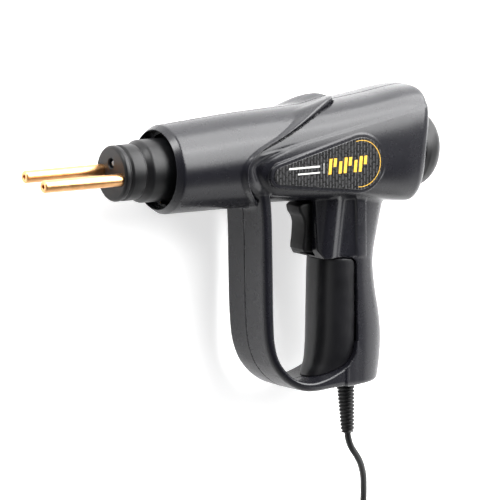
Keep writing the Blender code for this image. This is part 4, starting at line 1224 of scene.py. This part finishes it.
def strain_relief():
    """The tapered boot with its ribs."""
    end = 41.2
    profile = [(0.0, end), (3.7, end), (4.1, end - 0.4)]
    for i in range(RIBS):
        high = end - 1.0 - i * RIB_PITCH
        radius = 4.2 + (5.75 - 4.2) * (end - high) / (end - 8.4)
        profile += [(radius - 0.85, high), (radius - 0.85, high - 0.75), (radius - 0.1, high - 0.95),
                    (radius, high - 1.15), (radius, high - 2.0), (radius - 0.1, high - 2.2)]
    profile += [(5.8, 8.4), (5.9, 8.1), (5.8, 3.8), (8.0, 3.8), (8.0, 0.0), (0.0, 0.0)]
    turn = Matrix.Rotation(RELIEF_LEAN, 3, "Z") @ Matrix.Rotation(math.pi / 2, 3, "X")
    made = lathe("cord_boot", profile, DARK, turn, (*RELIEF_TOP, 0.0), steps=64, sharp=50)
    keep(made, "root", "dark_plastic", "strain_relief")


# ---- labels

LABEL_TOP = 30.4
INK_HIGH = 0.05
LINE_START = 112.0       # the thin line runs only round the label's wide end
DASH_COLUMN = 2.3        # millimetres from one column of dashes to the next
DASH_ROW = 4.8
BARS = (    # each bar's lower and upper end
    (-7.6, 2.1), (-3.2, 2.1), (-7.6, 0.0), (-7.6, 2.1), (-3.2, 2.1), (-7.6, 0.0), (-7.6, 2.1),
    (-3.2, 2.1),
)
BARS_START = 107.6
BAR_PITCH = 3.75
BAR_WIDE = 2.2
BAR_SLANT = 0.9 / 9.7
RULES = ((78.5, 101.4, -2.1, 1.2), (85.0, 101.4, -5.9, 1.0))   # from x, to x, y, thickness


def teardrop(grow, count=48):
    """The label's outline, offset by grow."""
    small = (LABEL_SMALL[0], LABEL_SMALL[1], LABEL_SMALL[2] + grow)
    large = (LABEL_LARGE[0], LABEL_LARGE[1], LABEL_LARGE[2] + grow)
    run = math.hypot(large[0] - small[0], large[1] - small[1])
    lean = math.degrees(math.atan2(large[1] - small[1], large[0] - small[0]))
    spread = math.degrees(math.acos((small[2] - large[2]) / run))
    return (arc(large[:2], large[2], lean - spread, lean + spread, count)
            + arc(small[:2], small[2], lean + spread, lean + 360.0 - spread, count // 2))


def plate(name, outline_points, low, high, finish, soften=0.12):
    """A thin plate with a softened upper edge, between two heights in z."""
    def rings(bm):
        return [inset_ring(bm, outline_points, inset, lambda x, y, z=z: (x, y, z))
                for z, inset in ((low, 0.0), (high - soften, 0.0), (high, soften))]
    return slab(name, rings, finish, 30)


def label_paint():
    """Black film with faint rows of short vertical dashes."""
    made = Nodes("label_film").set(Coat_Weight=0.5, Coat_Roughness=0.1)
    split = made.add("ShaderNodeSeparateXYZ")
    made.link(made.coordinates((1000.0, 1000.0, 1000.0)), split.inputs["Vector"])

    def math_node(operation, *values):
        node = made.add("ShaderNodeMath", operation=operation)
        for socket, value in zip(node.inputs, values):
            if hasattr(value, "is_linked"):
                made.link(value, socket)
            else:
                socket.default_value = value
        return node.outputs[0]

    column = math_node("DIVIDE", split.outputs["X"], DASH_COLUMN)
    odd = math_node("FLOORED_MODULO", math_node("FLOOR", column), 2.0)
    stagger = math_node("MULTIPLY", odd, DASH_ROW / 2)
    across = math_node("ABSOLUTE", math_node("SUBTRACT", math_node("FRACT", column), 0.5))
    row = math_node("DIVIDE", math_node("ADD", split.outputs["Y"], stagger), DASH_ROW)
    along = math_node("ABSOLUTE", math_node("SUBTRACT", math_node("FRACT", row), 0.5))
    dash = math_node("MULTIPLY", math_node("LESS_THAN", across, 0.15),
                     math_node("LESS_THAN", along, 0.40))
    made.colour(dash, (0.006, 0.006, 0.006), (0.060, 0.060, 0.062), 0.0, 1.0)
    made.roughness(made.noise(300.0, 3.0), 0.22, 0.32)
    return made.material


def ink(name, dark, light):
    """Flat printed ink with a faint unevenness."""
    made = Nodes(name)
    made.colour(made.noise(700.0, 3.0), dark, light)
    made.roughness(made.noise(500.0, 3.0), 0.3, 0.42)
    return made.material


def ink_plate(name, quad, finish):
    """A thin printed shape on a label's film."""
    return plate(name, quad, LABEL_TOP - 0.05, LABEL_TOP + INK_HIGH, finish, 0.02)


def labels():
    """Each side's teardrop label: a thin line at its wide end, a generic bar pattern and two rules."""
    film = label_paint()
    yellow = ink("yellow_ink", (0.72, 0.40, 0.03), (0.84, 0.50, 0.06))
    pale = ink("pale_ink", (0.50, 0.50, 0.48), (0.60, 0.60, 0.58))
    for side, word in SIDES:
        base = plate(f"label_film_{word}", teardrop(-0.1), 30.0, LABEL_TOP, film)
        keep(base, "root", "label", f"label_{word}")
        prints = [ring_line(f"label_line_{word}", teardrop(-1.7), 0.35, yellow)]
        for i, (low, high) in enumerate(BARS):
            x = BARS_START + BAR_PITCH * i
            top = x + BAR_SLANT * (high - low)
            quad = [(x, low), (x + BAR_WIDE, low), (top + BAR_WIDE, high), (top, high)]
            prints.append(ink_plate(f"label_bar_{i + 1}_{word}", quad, yellow))
        for i, (x0, x1, y, thick) in enumerate(RULES):
            low, high = y - thick / 2, y + thick / 2
            quad = [(x0, low), (x1, low), (x1, high), (x0, high)]
            prints.append(ink_plate(f"label_rule_{i + 1}_{word}", quad, pale))
        quad = [(104.1, -6.8), (104.5, -6.8), (104.5, -0.2), (104.1, -0.2)]
        prints.append(ink_plate(f"label_divider_{word}", quad, pale))
        for made in prints:
            keep(made, "root", "label")
        if side < 0:
            for made in [base] + prints:
                mirror_side(made)


def ring_line(name, outline_points, width, finish):
    """A thin raised line along the wide end of a closed outline."""
    bm = bmesh.new()
    rings = []
    for inset, z in ((0.0, LABEL_TOP - 0.05), (0.0, LABEL_TOP + INK_HIGH),
                     (width, LABEL_TOP + INK_HIGH), (width, LABEL_TOP - 0.05)):
        rings.append(inset_ring(bm, outline_points, inset, lambda x, y: (x, y, z)))
    along = [Vector(p).x for p in outline_points]
    bridge(bm, rings + rings[:1], lambda i, j: min(along[i], along[j]) > LINE_START)
    loose = [vertex for vertex in bm.verts if not vertex.link_faces]
    bmesh.ops.delete(bm, geom=loose, context="VERTS")
    bmesh.ops.holes_fill(bm, edges=[edge for edge in bm.edges if edge.is_boundary], sides=4)
    bmesh.ops.recalc_face_normals(bm, faces=bm.faces)
    return as_object(name, bm, finish)


def mirror_side(made):
    """Move a mesh's points to the tool's other side."""
    mesh = made.data
    for vertex in mesh.vertices:
        vertex.co.z = -vertex.co.z
    mesh.flip_normals()
    mesh.update()


nose()
electrodes()
lamp()
rear_cap()
insert()
trigger()
strain_relief()
labels()


# ---- floor and light

def floor():
    """A plain white floor that reaches past the picture."""
    bm = bmesh.new()
    bmesh.ops.create_grid(bm, x_segments=1, y_segments=1, size=6.0)
    mesh = bpy.data.meshes.new("floor")
    bm.to_mesh(mesh)
    bm.free()
    made = bpy.data.objects.new("floor", mesh)
    bpy.context.scene.collection.objects.link(made)
    paint = Nodes("floor_white").set(Specular_IOR_Level=0.2, Roughness=0.7,
                                     Emission_Color=(1.0, 1.0, 1.0, 1.0), Emission_Strength=0.60)
    paint.colour(paint.noise(3.0, 2.0), (0.80, 0.80, 0.80), (0.82, 0.82, 0.82))
    mesh.materials.append(paint.material)


def softbox(name, place, aim, size, power):
    """An area light that faces a point, both in the tool's millimetres."""
    data = bpy.data.lights.new(name, "AREA")
    data.shape = "RECTANGLE"
    data.size, data.size_y = size
    data.energy = power
    made = bpy.data.objects.new(name, data)
    bpy.context.scene.collection.objects.link(made)
    start = point(*place)
    made.location = start
    made.rotation_euler = (point(*aim) - start).to_track_quat("-Z", "Y").to_euler()


def lights():
    """A huge softbox off the barrel's upper side, three small ones, and a studio that is pale low
    down and dark overhead."""
    middle = (80.0, -20.0, 0.0)
    softbox("key", (640.0, 590.0, 540.0), middle, (1.0, 1.30), 40.0)
    softbox("strip", (620.0, 540.0, 630.0), middle, (1.0, 0.10), 2.6)
    softbox("low_rear", (560.0, -330.0, 190.0), middle, (0.5, 0.5), 1.6)
    softbox("front", (-420.0, 800.0, 230.0), middle, (0.45, 0.35), 8.0)
    world = bpy.data.worlds.new("studio")
    world.use_nodes = True
    tree = world.node_tree
    place = tree.nodes.new("ShaderNodeTexCoord")
    split = tree.nodes.new("ShaderNodeSeparateXYZ")
    ramp = tree.nodes.new("ShaderNodeValToRGB")
    background = tree.nodes["Background"]
    tree.links.new(place.outputs["Generated"], split.inputs["Vector"])
    tree.links.new(split.outputs["Z"], ramp.inputs["Fac"])
    tree.links.new(ramp.outputs["Color"], background.inputs["Color"])
    stops = ramp.color_ramp.elements
    stops[0].position, stops[0].color = 0.30, (1.0, 1.0, 1.0, 1.0)
    stops[1].position, stops[1].color = 0.80, (0.04, 0.04, 0.045, 1.0)
    bpy.context.scene.world = world
    bpy.context.scene.view_settings.view_transform = "Standard"


floor()
lights()
